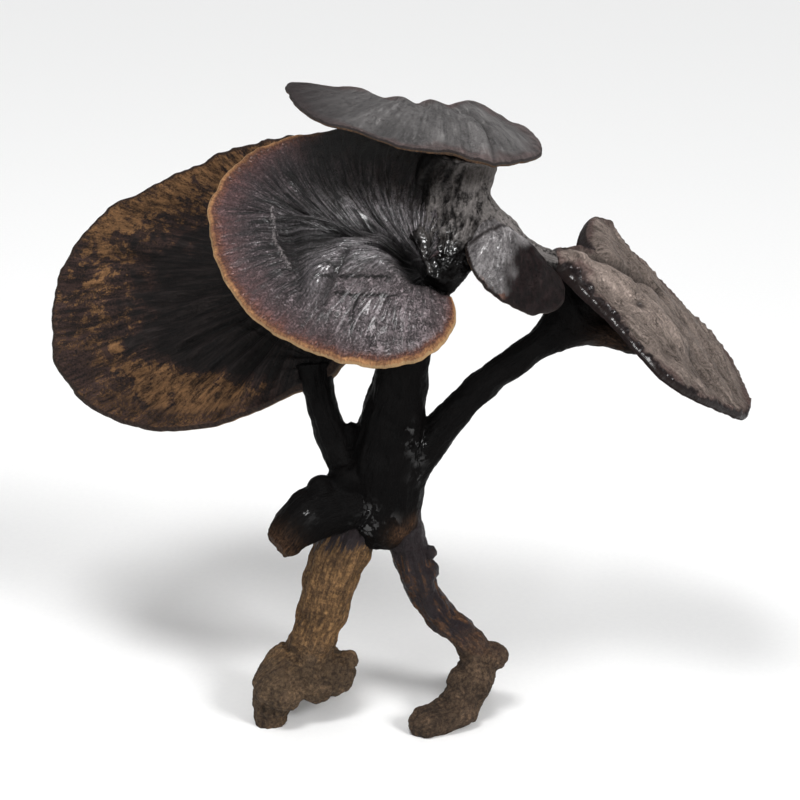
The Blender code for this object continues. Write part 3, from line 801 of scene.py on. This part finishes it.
def front_relief(at):
    """Folds that gather at the neck, growth zones, and a sharp crease and step, on that form."""
    inner, gather = 1 - at.share, ramp(at.share, 0, 0.14)
    upper = ramp(at.w, 8, -4)
    height = (0.9 + 2.0 * upper) * gather * inner**0.9 * (ridged(drawn_noise(at, 30, 1.6, 5), 0.7) - 0.5)
    height += (0.5 + 1.0 * upper) * gather * inner**0.6 * (ridged(drawn_noise(at, 80, 3, 6)) - 0.5)
    height += 0.45 * gather * drawn_noise(at, 150, 7, 7)
    height += 0.8 * drawn_noise(at, 4, 7, 8) + 1.0 * drawn_noise(at, 9, 3, 9)
    height += front_form(at) + forms(at, (-2.0, FRONT_CREASE, 1.7), (1.1, FRONT_STEP, 1.1))
    return height + 0.5 * bell(at.inset - 2.0, 1.2)


def front_pores(at):
    return front_form(at) + pore_relief(at)


def front_shade(at):
    """Where the crust is painted near black: a painted shadow under the top cap, and painted shade in
    the cleft and along the valleys.
    """
    ragged = 7 * lay_noise(at, 8, 8, 10) + 4 * lay_noise(at, 2.5, 2.5, 12)
    shades = [ramp(ragged - at.w, 31, 42) * ramp(at.u - 0.5 * at.w, 92, 78),
              near_line(at, FRONT_CLEFT, 4.0), 0.65 * near_line(at, FRONT_VALLEYS[0], 3.2),
              0.45 * near_line(at, FRONT_VALLEYS[1], 2.6)]
    return np.max(shades, axis=0)


def front_lobe(at):
    """Where the crust is mauve grey and wrinkled all ways: the folded lobe."""
    return np.clip(near_spot(at, 14, 24, 26, 15, -12) * 1.5, 0, 1)


def front_sheen(at):
    """Where the crust is wet, and where a satin sheen is painted on it: by the neck, along the crest of
    the lobe, and in patches of the fan.
    """
    return np.clip(forms(
        at, (1.5, FRONT_CREST[1:], 5.0), (1.2, [(32.7, 0), (36.7, 6.3), (40.6, 11.7)], 4.0),
        (1.0, 6, -14, 16, 10), (0.6, 16, 24, 16, 8), (0.8, 28, -19, 17, 8, 30), (0.2, 60, -4, 14, 24)), 0, 1)


def crack(lay, line, width):
    """1 on a thin bent line in a cap's plane."""
    near = None
    for (u0, w0), (u1, w1) in zip(line, line[1:]):
        along = (u1 - u0, w1 - w0, 0.0)
        offset = lay.vector("SUBTRACT", lay, (u0, w0, 0.0))
        dot = lay.vector("DOT_PRODUCT", offset, along, output="Value")
        share = (dot / (along[0] ** 2 + along[1] ** 2)).most(0.0).least(1.0)
        foot = lay.vector("SCALE", along, Scale=share)
        gap = lay.vector("DISTANCE", offset, foot, output="Value")
        near = gap if near is None else near.least(gap)
    return near.rise(width, 0.3 * width)


CRACK_WIDTH = 0.9
WHORL = (16.1, 24.5, 0.0)     # the wrinkles of the lobe run in rings round this point
FRONT_CRACKS = [[(31.1, 12.7), (21.7, 11.4), (11.2, 10.8)], [(31.5, 19.1), (20, 18.0), (7, 16.9)],
                [(23.1, 19), (23.9, 25), (23.4, 31)], [(42.4, 11.2), (37, 9.2), (33.3, 9.4)],
                [(40.5, 15.2), (34.7, 13.6)]]


def front_material():
    """Satin crust in bands that follow the margin, with striae, dark strokes, flecks and cracks. Shade
    is painted into its hollows, crease, cleft and valleys, with a painted shadow under the top cap,
    and a painted sheen and glints lie on it.
    """
    material, sockets, wire = new_material("front_crust")
    growth, lay = wire.stored("growth", "lay", output="Vector")
    inset, under, lift, black, lobe, sheen = wire.stored(
        "inset", "under", "lift", "black", "lobe", "sheen")
    striae = growth.drawn(9.0, FRONT.turns).grain(0.7, 4.0, 0.7)
    fine = growth.drawn(22.0, FRONT.turns).grain(1.3, 4.0, 0.7)
    broad = growth.drawn(14.0, FRONT.turns).grain(0.28, 3.0, 0.6)
    clouds = lay.grain(0.075, 3.0, 0.6)
    cross = lay.grain(0.42, 5.0, 0.7, 1.2)
    grit = lay.grain(1.2, 4.0, 0.75)
    strokes = growth.drawn(11.0, FRONT.turns).grain(0.4, 3.0, 0.6).vein(0.09)
    strokes = strokes * broad.rise(0.38, 0.5) * inset.rise(76.0, 60.0) * inset.rise(6.0, 22.0)
    away = lay.vector("DISTANCE", lay, WHORL, output="Value")
    whorl = ((away * 3.4 + (cross - 0.5) * 9.0).math("SINE").rise(0.3, 0.9)) * away.rise(12.0, 6.0)
    wrinkles = (cross.vein(0.045) * lay.grain(0.16, 3.0, 0.6).rise(0.4, 0.52)).most(whorl * 0.8)

    wavy = inset + (striae - 0.5) * 1.6 + (grit - 0.5) * 2.0
    fade = (wavy + (broad - 0.5) * 12.0 + (clouds - 0.5) * 12.0) / 60.0
    mottle = (striae * 0.2 + fine * 0.12 + grit * 0.43 + cross * 0.25).rise(0.43, 0.57)
    zones = (inset * 0.8 + (clouds - 0.5) * 9.0 + (cross - 0.5) * 3.0).math("SINE") * inset.rise(34.0, 22.0)
    flecks = (grit * 0.75 + cross * 0.25).rise(0.53, 0.61) * clouds.rise(0.4, 0.54)
    flecks = flecks * inset.rise(8.0, 18.0) * inset.rise(42.0, 28.0)
    dark = (strokes * (1 - 0.75 * lobe)).most(wrinkles * (0.15 + 0.8 * lobe)) * inset.rise(2.5, 8.0)
    below = lay.node("SeparateXYZ", {}, {"Vector": lay}, "Y") + (cross - 0.5) * 8.0
    patches = lay.grain(0.2, 5.0, 0.7, 0.8).rise(0.44, 0.58) * below.rise(11.0, 19.0)
    bent = lay.vector("ADD", lay, lay.vector("SCALE", (4.5, 4.5, 0.0), Scale=cross - 0.5))
    # painted shade: the shaded side of the crease, drawn as a dark line along it
    fold = crack(bent, FRONT_CREASE, 2.2) * (cross * 0.6 + grit * 0.4).rise(0.36, 0.56)
    grain = (grit * 0.6 + fine * 0.4).rise(0.4, 0.6)
    lines = crack(bent, FRONT_CRACKS[0], CRACK_WIDTH)
    for line in FRONT_CRACKS[1:]:
        lines = lines.most(crack(bent, line, CRACK_WIDTH))
    lines = lines * cross.rise(0.3, 0.38)
    glint = crack(bent, FRONT_STEP, CRACK_WIDTH) * grain

    banded = wire.node("ValToRGB", {"stops": [
        (0.0, (118, 74, 64)), (0.06, (100, 66, 61)), (0.13, (84, 61, 61)),
        (0.3, (64, 54, 56)), (0.5, (62, 57, 58)), (0.8, (94, 91, 92))]}, {"Fac": fade})
    fleshy = (grain * 0.6 + clouds.rise(0.4, 0.6) * 0.4).paint((98, 60, 38), (192, 141, 94))
    pores, pits = pore_layer(wire, (150, 118, 84), (96, 70, 50))
    colour = coated(
        banded,
        (lobe, (98, 88, 90)),
        (mottle, 0.4, 1.65),
        (zones * 0.5 + 0.5, 0.86, 1.14),
        # painted shade and light: darker in the hollows of the relief, lighter on its raised places
        (lift / 6.0 + 0.5, 0.55, 1.4),
        # painted sheen: a pale satin highlight on the wet places, whose coat also really shines
        (sheen * mottle * 0.75, (162, 155, 159)),
        (flecks * 0.5, (146, 130, 134)),
        (lobe * patches, 0.85, 1.25),
        (lobe * mottle * patches * 0.55, (158, 146, 149)),
        # painted shade along the crease
        (fold * 0.85, (18, 14, 15)),
        (dark * 0.95, (14, 11, 11)),
        ((wavy + (broad - 0.5) * 4.0).rise(6.0, 3.2), grain.paint((56, 34, 31), (118, 74, 56))),
        ((wavy + (broad - 0.5) * 2.4).rise(3.0, 1.5), fleshy),
        (wavy.rise(0.9, 0.4) * 0.5, (200, 170, 122)),
        # painted shadow under the top cap, and painted shade in the cleft and along the valleys
        ((black * (0.85 + 0.25 * striae)).least(1.0), (13, 11, 11)),
        (lines * 0.95, (16, 12, 12)),
        # painted highlight: a pale broken line of glints along the step
        (glint * 0.85, (160, 152, 152)),
        (under, pores))

    margin = wavy.rise(3.6, 2.4)
    relief = (mottle * 0.5 + cross.rise(0.36, 0.64) * 0.45 * lobe - dark * 0.5 - lines * 0.6 + glint * 0.3)
    shine = (sheen * (broad * 0.4 + grit * 0.6).rise(0.4, 0.58)).most(0.3 * grit.rise(0.5, 0.65))
    feed(sockets, Base_Color=colour,
         Roughness=(0.38 + 0.3 * (clouds - 0.5) + 0.4 * margin).most(under * 0.85),
         Specular_IOR_Level=0.3,
         Coat_Weight=shine * (1 - margin) * (1 - under) * (1 - 0.7 * black), Coat_Roughness=0.2,
         Normal=(relief + under * pits).bump(0.6))
    return material


cap_piece("front_cap_crust", FRONT, "front_cap", "dark_crust", front_material(), front_relief, front_pores,
          black=front_shade, lobe=front_lobe, sheen=front_sheen)


# ============================================================ left cap
# The widest cap lies behind the front one. Its dull crust is patched with rusty spore dust whose
# edges fray outward along the growth, round a dark middle, and its margin is rolled and dark.

LEFT = Cap(
    hub=(-33.0, 30.0, 155.6), forward=(-0.93, 0.348, 0.114), up=(-0.22, -0.78, 0.585),
    margin=[(-150, 15), (-125, 35), (-105, 64), (-88, 89), (-67, 102.5), (-58, 106), (-50, 107), (-41, 108),
            (-33, 112), (-19, 122), (-6, 124.2), (4, 119.4), (12, 115.6), (20, 106.2), (28, 90.6), (34, 78),
            (40, 63), (46, 47.5), (52, 31.5), (60, 19), (74, 13), (90, 10), (150, 8), (180, 9)],
    droop=[(-150, 0), (-105, -4), (-60, -6), (-20, -4), (10, -4), (35, -5), (57, -3), (90, 0),
           (180, 0)],
    mesh=(600, 104, 20), folds=[(-22, 9, 1.6), (-45, 8, 1.4), (5, 8, 1.2), (28, 7, -1.0)],
    hub_thick=12.0, rim_thick=4.4, flare=6.0, flare_width=14.0, bow=0.6, ragged=(1.1, 9.0), seed=11)


def fan_from(u0, w0, size):
    """For a crust that grew away from the point (u0, w0) of its cap's plane: lengths round that point, in
    the first two directions, and away from it, in the third."""
    def fan(at):
        du, dw = at.u - u0, at.w - w0
        away = np.hypot(du, dw) + 1e-6
        return np.dstack([size * du / away, size * dw / away, away])
    return fan


def fan_noise(fan, size, stretch, seed):
    """Noise that is drawn out along a fan."""
    return grid_noise(fan / (size, size, size * stretch), seed)


left_fan = fan_from(2, -38, 75)


def left_relief(at):
    """Broad old growth zones, folds along the growth that are deepest inward, and a rolled edge."""
    inner, gather = 1 - at.share, ramp(at.share, 0, 0.12)
    fan = left_fan(at)
    height = (0.7 + 1.6 * inner) * gather * fan_noise(fan, 5.5, 7.0, 31) * 2.2
    height += 0.9 * gather * fan_noise(fan, 2.2, 6.0, 32)
    height += 1.0 * drawn_noise(at, 4, 6, 33) + 0.8 * drawn_noise(at, 12, 4, 35)
    height += 0.5 * np.sin(at.inset / 2.6 + 2 * drawn_noise(at, 6, 2, 34)) * np.exp(-at.inset / 14)
    return height + 0.6 * bell(at.inset - 2.0, 1.8)


def left_dust(at):
    """How thickly the rusty dust lies: none in the middle, less in the outer band, most low down. The
    bare, dark middle is drawn out at its lower side and by the hub to where the front cap's shadow
    falls, so there it is partly painted shadow.
    """
    # partly painted shadow: the bare dark middle reaches out to the front cap's shadow at its lower side and
    # by the hub
    limit = np.interp(at.angle, [-90, -60, -34, -22, -4, 8, 11, 14, 17, 22, 30],
                      [0.48, 0.56, 0.66, 0.68, 0.61, 0.62, 0.56, 0.47, 0.40, 0.30, 0.24])
    frayed = 0.7 * lay_noise(at, 7, 7, 36) + 0.5 * lay_noise(at, 3, 3, 38)
    open_ground = np.clip((at.share - limit) / 0.2 + frayed, 0, 1) * ramp(at.u, 8, 26)
    thick = 0.57 + 0.19 * ramp(at.w, 8, 20) + 0.2 * ramp(at.w, -20, -40)
    thick += forms(at, (-0.22, 113, -8, 9, 30, 8), (-0.3, 100, 28, 9, 9), (-0.25, 84, 27, 9, 6, -20),
                   (0.12, [(108, -30), (104, -10), (98, 4)], 5), (0.12, 112, -34, 15, 18),
                   (0.2, 41, 27, 13, 10))
    return open_ground * (thick + 0.1 * lay_noise(at, 12, 12, 37))


def left_grit(at):
    """Where the dust is speckled like coarse sand, along the lower margin."""
    return np.clip(1.8 * bell(at.inset - 6, 11) * ramp(at.w, 4, 16), 0, 1)


def left_material():
    """Rusty dust in frayed patches over a plum brown crust, which is near black in the middle, partly
    as a painted shadow of the front cap.
    """
    material, sockets, wire = new_material("spored_crust")
    fan, lay = wire.stored("fan", "lay", output="Vector")
    inset, under, lift, dust, gritty = wire.stored("inset", "under", "lift", "dust", "gritty")
    striae = fan.drawn(0.13).grain(0.7, 4.0, 0.7)
    frays = fan.drawn(0.4).grain(0.3, 6.0, 0.8)
    clouds = lay.grain(0.1, 4.0, 0.65)
    grit = lay.grain(1.0, 4.0, 0.75)

    lying = dust - 0.52 + (frays - 0.5) * 3.0 + (clouds - 0.5) * 1.4
    cover = lying.rise(-0.14, 0.2) * dust.rise(0.02, 0.3)
    cover = cover * (1 - 0.9 * lay.grain(0.17, 4.0, 0.75, 0.5).rise(0.52, 0.44) * dust.rise(0.78, 0.66))
    cover = cover * (1 - 0.95 * gritty * (grit * 0.6 + frays * 0.4).rise(0.47, 0.53))
    tooth = (striae * 0.5 + grit * 0.5).rise(0.4, 0.6)
    scratches = fan.drawn(0.3).grain(0.5, 5.0, 0.75).rise(0.4, 0.6)
    plum = tooth.paint((15, 12, 12), (56, 41, 37))
    rust = (tooth * 0.45 + scratches * 0.55).paint((28, 21, 17), (132, 97, 65))
    rust = gritty.dimmed(rust, 1.0, 0.72)
    middle = striae.rise(0.34, 0.68).paint((12, 10, 10), (36, 30, 29))
    rim = (inset + (grit - 0.5) * 2.0).rise(3.2, 1.8)
    pores, pits = pore_layer(wire, (150, 118, 84), (96, 70, 50))
    colour = coated(
        dust.rise(0.0, 0.3).paint(middle, plum),
        (cover, rust),
        # painted shade and light: darker in the hollows of the relief, lighter on its raised places
        (lift / 5.0 + 0.5, 0.5, 1.35),
        (rim, grit.rise(0.3, 0.7).paint((26, 19, 18), (58, 44, 36))),
        (under, pores))
    feed(sockets, Base_Color=colour, Roughness=0.66 + 0.2 * cover, Specular_IOR_Level=0.1,
         Normal=(tooth * 0.6 + cover * 0.25 + under * pits).bump(0.45))
    return material


cap_piece("left_cap_crust", LEFT, "left_cap", "spored_crust", left_material(), left_relief, pore_relief,
          fan=left_fan, dust=left_dust, gritty=left_grit)


# ============================================================ top cap
# The highest cap is thin and graphite grey. It grew from its far side, so its folds fan out from
# there, standing up as scallops behind and hanging over a thin ochre line in front.

TOP = Cap(
    hub=(27.0, 30.0, 247.5), forward=(-0.98, 0.0, 0.2), up=(0.2, -0.1, 0.974),
    margin=[(-170, 29.5), (-150, 32), (-125, 36), (-107, 39), (-90, 40.5), (-70, 37), (-54, 38), (-41, 43),
            (-30, 53), (-23, 60), (-18, 69.5), (-14, 75), (-9, 74.5), (-4, 72), (3, 69), (10, 66.5), (22, 58),
            (32, 45), (43, 37), (56, 30), (68, 25), (82, 24), (96, 25), (110, 27), (125, 26), (142, 25),
            (165, 27)],
    droop=[(-150, 0), (-90, 0), (-40, 0), (-15, 1), (0, 1), (45, -1), (90, -1), (150, -1), (180, -1)],
    mesh=(460, 64, 18),
    folds=[(-29, 5, 1.6), (-36, 5, -1.0), (-44, 6, 1.1), (-54, 6, -1.1), (-65, 7, 1.1), (-77, 7, -1.1),
           (-92, 10, 1.8), (-118, 9, -1.2), (30, 10, 1.2), (75, 12, 1.4), (135, 14, 1.2)],
    hub_thick=11.0, rim_thick=1.5, flare=6.0, flare_width=15.0, bow=0.5, ragged=(0.7, 6.0), seed=21)

TOP_CREASE = [(1, -24), (-5, -8), (-8.6, 14), (-9, 26)]
top_fan = fan_from(14, -62, 70)


def top_relief(at):
    """Soft drapes that grow towards the near rim, one sharp crease, and a raised lip."""
    fan = top_fan(at)
    near = np.clip((at.w + 20) / 40, 0.3, 1)
    height = 3.0 * near * fan_noise(fan, 9.0, 6.0, 51) + 0.5 * near * fan_noise(fan, 3.0, 6.0, 52)
    height += 0.6 * lay_noise(at, 6, 4, 53) - 2.4 * near_line(at, TOP_CREASE, 1.8)
    height *= np.clip(0.3 + at.inset / 14, 0, 1)
    return height + 0.5 * bell(at.inset - 2.2, 1.4)


def grey_material(name, low, high, tint, tint_from, tint_to, rough, lip, gloss=0.3,
                  dark=(22, 16, 16), flesh=((150, 120, 86), (96, 72, 52)), lip_from=-500.0,
                  wet=(0.0, 0.0), grained=0.45):
    """A dusty crust from low to high, tinted from tint_from millimetres inside the margin outward.

    Its rim is dark, over a thin lip that is ochre where lip is 1 and dark where it is 0, and that
    starts lip_from millimetres in front of the hub. Where the stored shade is 1 it has the colour dark.
    The crust is darkened in the hollows of its relief and lightened on its raised places, as painted
    shade and light.
    flesh is the pores' pale and deep colours, gloss the crust's own shine, and wet how much lacquer
    shines outside and inside of the shade. grained is how much the grain follows the growth."""
    material, sockets, wire = new_material(name)
    fan, lay = wire.stored("fan", "lay", output="Vector")
    inset, under, lift, shade = wire.stored("inset", "under", "lift", "shade")
    striae = fan.drawn(0.14).grain(0.7, 4.0, 0.65)
    streaks = fan.drawn(0.12).grain(0.26, 3.0, 0.6)
    grit = lay.grain(1.1, 5.0, 0.78)
    clouds = lay.grain(0.09, 4.0, 0.6)
    folds = fan.drawn(0.35).grain(0.5, 4.0, 0.65, 0.6).vein(0.025) * clouds.rise(0.42, 0.56)
    blots = lay.grain(0.3, 4.0, 0.7, 0.6).rise(0.36, 0.64)
    tooth = (striae * grained + grit * (1 - grained)).rise(0.38, 0.62)
    lines = streaks.rise(0.35, 0.65) * (0.7 * grained) + blots * (0.38 - 0.7 * grained)
    tinted = (inset + (clouds - 0.5) * 22.0 + (striae - 0.5) * 6.0).rise(tint_from, tint_to)
    along = lay.node("SeparateXYZ", {}, {"Vector": lay}, "X").rise(lip_from - 4.0, lip_from + 4.0)
    shaded = (shade + (tooth - 0.5) * 0.35 * shade).rise(0.1, 0.9)
    wavy = inset + (grit - 0.5) * 1.6 + (streaks - 0.5) * 1.0
    edge = under * inset.rise(3.0, 1.0)
    pores, pits = pore_layer(wire, *flesh)
    colour = coated(
        (tooth * 0.6 + lines + clouds * 0.1).paint(low, high),
        (tinted * along * 0.75, tooth.dimmed(tint, 0.6, 1.5)),
        # painted shade and light: darker in the hollows of the relief, lighter on its raised places
        (lift / 6.0 + 0.5, 0.5, 1.45),
        (folds * 0.6, dark),
        (shaded, tooth.paint(dark, (40, 29, 29))),
        (wavy.rise(0.8, 0.3), (34, 24, 22)),
        (under, pores),
        (edge * (1 - lip), (40, 27, 26)),
        (edge * lip * along, tooth.paint((46, 31, 23), (112, 78, 47))))
    feed(sockets, Base_Color=colour,
         Roughness=(rough + 0.5 * (grit - 0.5) + 0.3 * (clouds - 0.5)).most(under * 0.8),
         Specular_IOR_Level=gloss, Coat_Roughness=0.18,
         Coat_Weight=(wet[0] * (1 - shaded) + wet[1] * shaded) * (1 - under) * grit.rise(0.46, 0.56),
         Normal=(tooth * 0.8 - folds * 0.4 + under * pits).bump(0.55))
    return material


def top_shade(at):
    """Where the crust is darker: along the crease, and towards the left end."""
    return np.clip(0.5 * near_line(at, TOP_CREASE, 1.1) + 0.75 * ramp(at.u, 30, 70), 0, 1)


cap_piece("top_cap_crust", TOP, "top_cap", "grey_crust",
          grey_material("grey_crust", low=(58, 56, 56), high=(124, 121, 120), tint=(80, 64, 62),
                        tint_from=9.0, tint_to=1.0, rough=0.5, lip=1.0, dark=(40, 35, 36)),
          top_relief, pore_relief, fan=top_fan, shade=top_shade)


# ============================================================ right cap
# The right cap hangs off its stem, turned to the light: dull, brown grey, furrowed from its two upper
# lobes down to the far tip, with a glossy dark edge.

RIGHT = Cap(
    hub=(82.2, 37.3, 194.5), forward=(0.707, -0.242, -0.664), up=(0.62, -0.2, 0.73),
    margin=[(-165, 12), (-152, 17), (-141, 24), (-132, 29), (-125, 31), (-118, 30.5), (-111, 27.5),
            (-101, 26), (-88, 27), (-74, 29.5), (-61, 33), (-52, 39), (-46, 44.5), (-37, 56), (-24, 67),
            (-12, 75.5), (-5, 81), (3, 83.5), (10, 84), (16, 82.5), (24, 77.5), (32, 68), (42, 55), (54, 45),
            (66, 41), (80, 41), (92, 41), (103, 41), (118, 35), (127, 28), (135, 19), (143, 12), (155, 9)],
    droop=[(-165, 0), (-145, -4.5), (-130, -7), (-115, -7.5), (-90, -5.5), (-60, -4.5), (-40, -4.5),
           (-18, -4), (0, -4), (60, -4), (115, -3), (165, 0)],
    mesh=(480, 84, 16),
    folds=[(14, 11, -1.5), (-14, 12, 1.0), (-112, 20, 1.0), (60, 12, 1.2), (112, 16, 2.0), (155, 20, -5.0)],
    hub_thick=11.0, rim_thick=3.4, flare=9.0, flare_width=20.0, dish=1.5, bow=0.3, ragged=(0.8, 8.0),
    seed=31)

RIGHT_CREST = [(-16, -28), (-8, -20), (1, -15), (12, -12), (24, -12), (42, -10)]
RIGHT_VALLEY = [(-14, -12), (-4, -8), (5, -1), (13, 8), (22, 13)]
RIGHT_PITS = [(1.0, 20.4, -16, 3, 2), (1.0, 36.5, -4, 4, 2)]


def right_fan(at):
    """Lengths across and along the growth of the right cap, which draws together at its tip."""
    across = (at.w + 6 + 0.12 * at.u) / np.clip(1.25 - at.u / 100, 0.35, 1.5)
    return np.dstack([across, 0 * at.u, at.u + 0.012 * at.w**2])


def right_relief(at):
    """Two lobes with a valley between them, long furrows to the tip, shallow pits, and a rolled edge."""
    fan = right_fan(at)
    height = 2.0 * fan_noise(fan, 7.0, 5.0, 61) + 0.9 * fan_noise(fan, 3.0, 4.0, 62)
    height += 0.5 * lay_noise(at, 2.6, 2.0, 64) + 1.2 * lay_noise(at, 9, 6, 63)
    height += forms(at, (3.6, RIGHT_CREST, 6.0), (-6.0, RIGHT_VALLEY, 4.0)) - 1.6 * forms(at, *RIGHT_PITS)
    height *= np.clip(0.3 + at.inset / 10, 0, 1)
    beads = 0.7 + 0.9 * lay_noise(at, 1.8, 1.8, 67)
    return height + beads * bell(at.inset - 2.4, 1.8)


def right_shade(at):
    """Where the crust is painted dark: painted shade in the valley and the pits, and along the near
    margin a dark lacquered band, darkened further as painted shade where the edge turns down.
    """
    # painted shade in the valley and pits; the near band is dark lacquer and painted shade
    shade = 0.6 * near_line(at, RIGHT_VALLEY, 1.8) + 0.7 * forms(at, *RIGHT_PITS)
    near = ramp(at.w, 18, 4) * ramp(at.u, 180, 60)
    width = np.maximum(0.7, 1.9 + 2.6 * lay_noise(at, 5, 5, 65) + 1.6 * lay_noise(at, 1.6, 1.6, 66))
    return np.clip(shade + 1.2 * bell(at.inset, width) * near, 0, 1)


cap_piece("right_cap_crust", RIGHT, "right_cap", "brown_crust",
          grey_material("brown_crust", low=(58, 51, 46), high=(158, 143, 134), tint=(74, 56, 54),
                        tint_from=7.0, tint_to=1.0, rough=0.42, lip=0.0, gloss=0.12, dark=(10, 6, 7),
                        flesh=((36, 22, 22), (18, 11, 12)), wet=(0.0, 0.5), grained=0.34),
          right_relief, pore_relief, fan=right_fan, shade=right_shade)


# ============================================================ small cap
# A young cap grows out of the neck below the right one. It is grey and shiny near the neck, and
# edged in orange. Lower down it is painted dark maroon, partly as the right cap's shadow.

SMALL = Cap(
    hub=(35.0, 13.0, 214.5), forward=(0.647, -0.453, -0.613), up=(0.22, -0.66, 0.72),
    margin=[(-170, 7), (-130, 8), (-100, 12), (-73, 17.5), (-60, 20), (-48, 22), (-33, 26), (-20, 30.5),
            (-6, 35.5), (8, 38.5), (20, 35), (30, 25), (42, 15.8), (60, 10), (80, 8), (120, 8), (160, 7)],
    droop=[(-170, 0), (-60, -5), (-10, -9), (30, -7), (77, -3), (120, 0)],
    mesh=(300, 48, 12), hub_thick=11.0, rim_thick=2.4, bow=0.4, ragged=(0.5, 5.0), seed=41)

SMALL_ARCH = [(3, -15), (5, -7), (8, 0), (16, 4), (26, 5)]


def small_fan(at):
    """The growth away from the neck, squeezed along it, because the marks of a young cap are short."""
    return fan_from(-10, 6, 30)(at) * (1, 1, 3)


def small_relief(at):
    """A rounded arch where the cap leaves the neck, with curved wrinkles below it."""
    fan = small_fan(at)
    height = 1.5 * fan_noise(fan, 4.0, 12.0, 71) + 0.8 * fan_noise(fan, 2.0, 15.0, 72)
    rings = np.sin(np.hypot(at.u - 8, at.w + 12) / 0.9 + 3 * lay_noise(at, 7, 7, 74))
    height += 0.3 * rings * ramp(at.u, 4, 12)
    return height + forms(at, (4.0, SMALL_ARCH, 6.0), (4.5, 12, -8, 11, 9))


def small_shade(at):
    """Where the crust is painted dark maroon: low down, partly as a painted shadow of the right cap,
    and as painted shade in the fold under the arch.
    """
    # partly painted shadow of the right cap low down, and painted shade in the fold under the arch
    lower = ramp(at.u + 0.5 * at.w + 9 * lay_noise(at, 6, 6, 73), 8, 16)
    return np.maximum(lower, 0.7 * near_line(at, [(-2, -18), (1, -8), (3, 0), (8, 6)], 1.6))


cap_piece("small_cap_crust", SMALL, "small_cap", "grey_crust",
          grey_material("young_crust", low=(46, 43, 44), high=(150, 146, 146), tint=(120, 74, 52),
                        tint_from=2.0, tint_to=0.6, rough=0.34, lip=1.0, gloss=0.12, dark=(8, 6, 6),
                        lip_from=14.0, wet=(0.5, 0.0)),
          small_relief, pore_relief, fan=small_fan, shade=small_shade)


# ============================================================ floor, light and camera
# A pale paper floor under soft light: a lamp high on the front right, a wide ceiling, a soft box above
# for the sheen, and a low window on the front left that only the gloss mirrors. The camera stands where
# the photograph was taken from.

FLOOR_SIZE = 12.0                                                     # metres, as all lengths below
EYE, LOOK_AT = (0.0031, -0.7754, 0.4166), (0.0031, -0.0236, 0.143)

bpy.ops.mesh.primitive_plane_add(size=FLOOR_SIZE)
floor = bpy.context.object
floor.name = "floor"
paper, paper_sockets, paper_wire = new_material("studio_paper")
tooth = paper_wire.node("NewGeometry", output="Position").grain(400, 2.0)
feed(paper_sockets, Base_Color=tooth.paint((238, 238, 238), (244, 244, 243)), Roughness=0.9)
floor.data.materials.append(paper)

world = bpy.data.worlds.new("studio")
bpy.context.scene.world = world
world.use_nodes = True
feed(world.node_tree.nodes["Background"].inputs, Color=(0.97, 0.98, 1.0, 1.0), Strength=0.22)
bpy.context.scene.view_settings.view_transform = "Standard"


def lamp(name, kind, place, target, energy, **settings):
    """A lamp at a place, turned to its target."""
    data = bpy.data.lights.new(name, kind)
    data.energy = energy
    for key, value in settings.items():
        setattr(data, key, value)
    made = linked(name, data)
    made.location = place
    made.rotation_euler = (Vector(target) - Vector(place)).to_track_quat("-Z", "Y").to_euler()
    return made


lamp("key", "SUN", (1.05, -0.95, 1.15), (0, 0, 0.15), 2.1, angle=math.radians(18))
lamp("ceiling", "SUN", (0, 0, 2), (0, 0, 0), 1.1, angle=math.radians(100))
lamp("softbox", "AREA", (-0.19, -0.48, 1.26), (0, 0, 0.2), 8.0, shape="RECTANGLE", size=0.4, size_y=0.26)
window = lamp("window", "AREA", (-0.27, -0.72, 0.36), (0.02, -0.03, 0.2), 7.0,
              shape="RECTANGLE", size=0.26, size_y=0.32)
window.visible_diffuse = False

lens = bpy.data.cameras.new("camera")
lens.lens = 90.0
lens.sensor_width = 36.0
camera = linked("camera", lens)
camera.location = EYE
camera.rotation_euler = (Vector(LOOK_AT) - Vector(EYE)).to_track_quat("-Z", "Y").to_euler()
bpy.context.scene.camera = camera
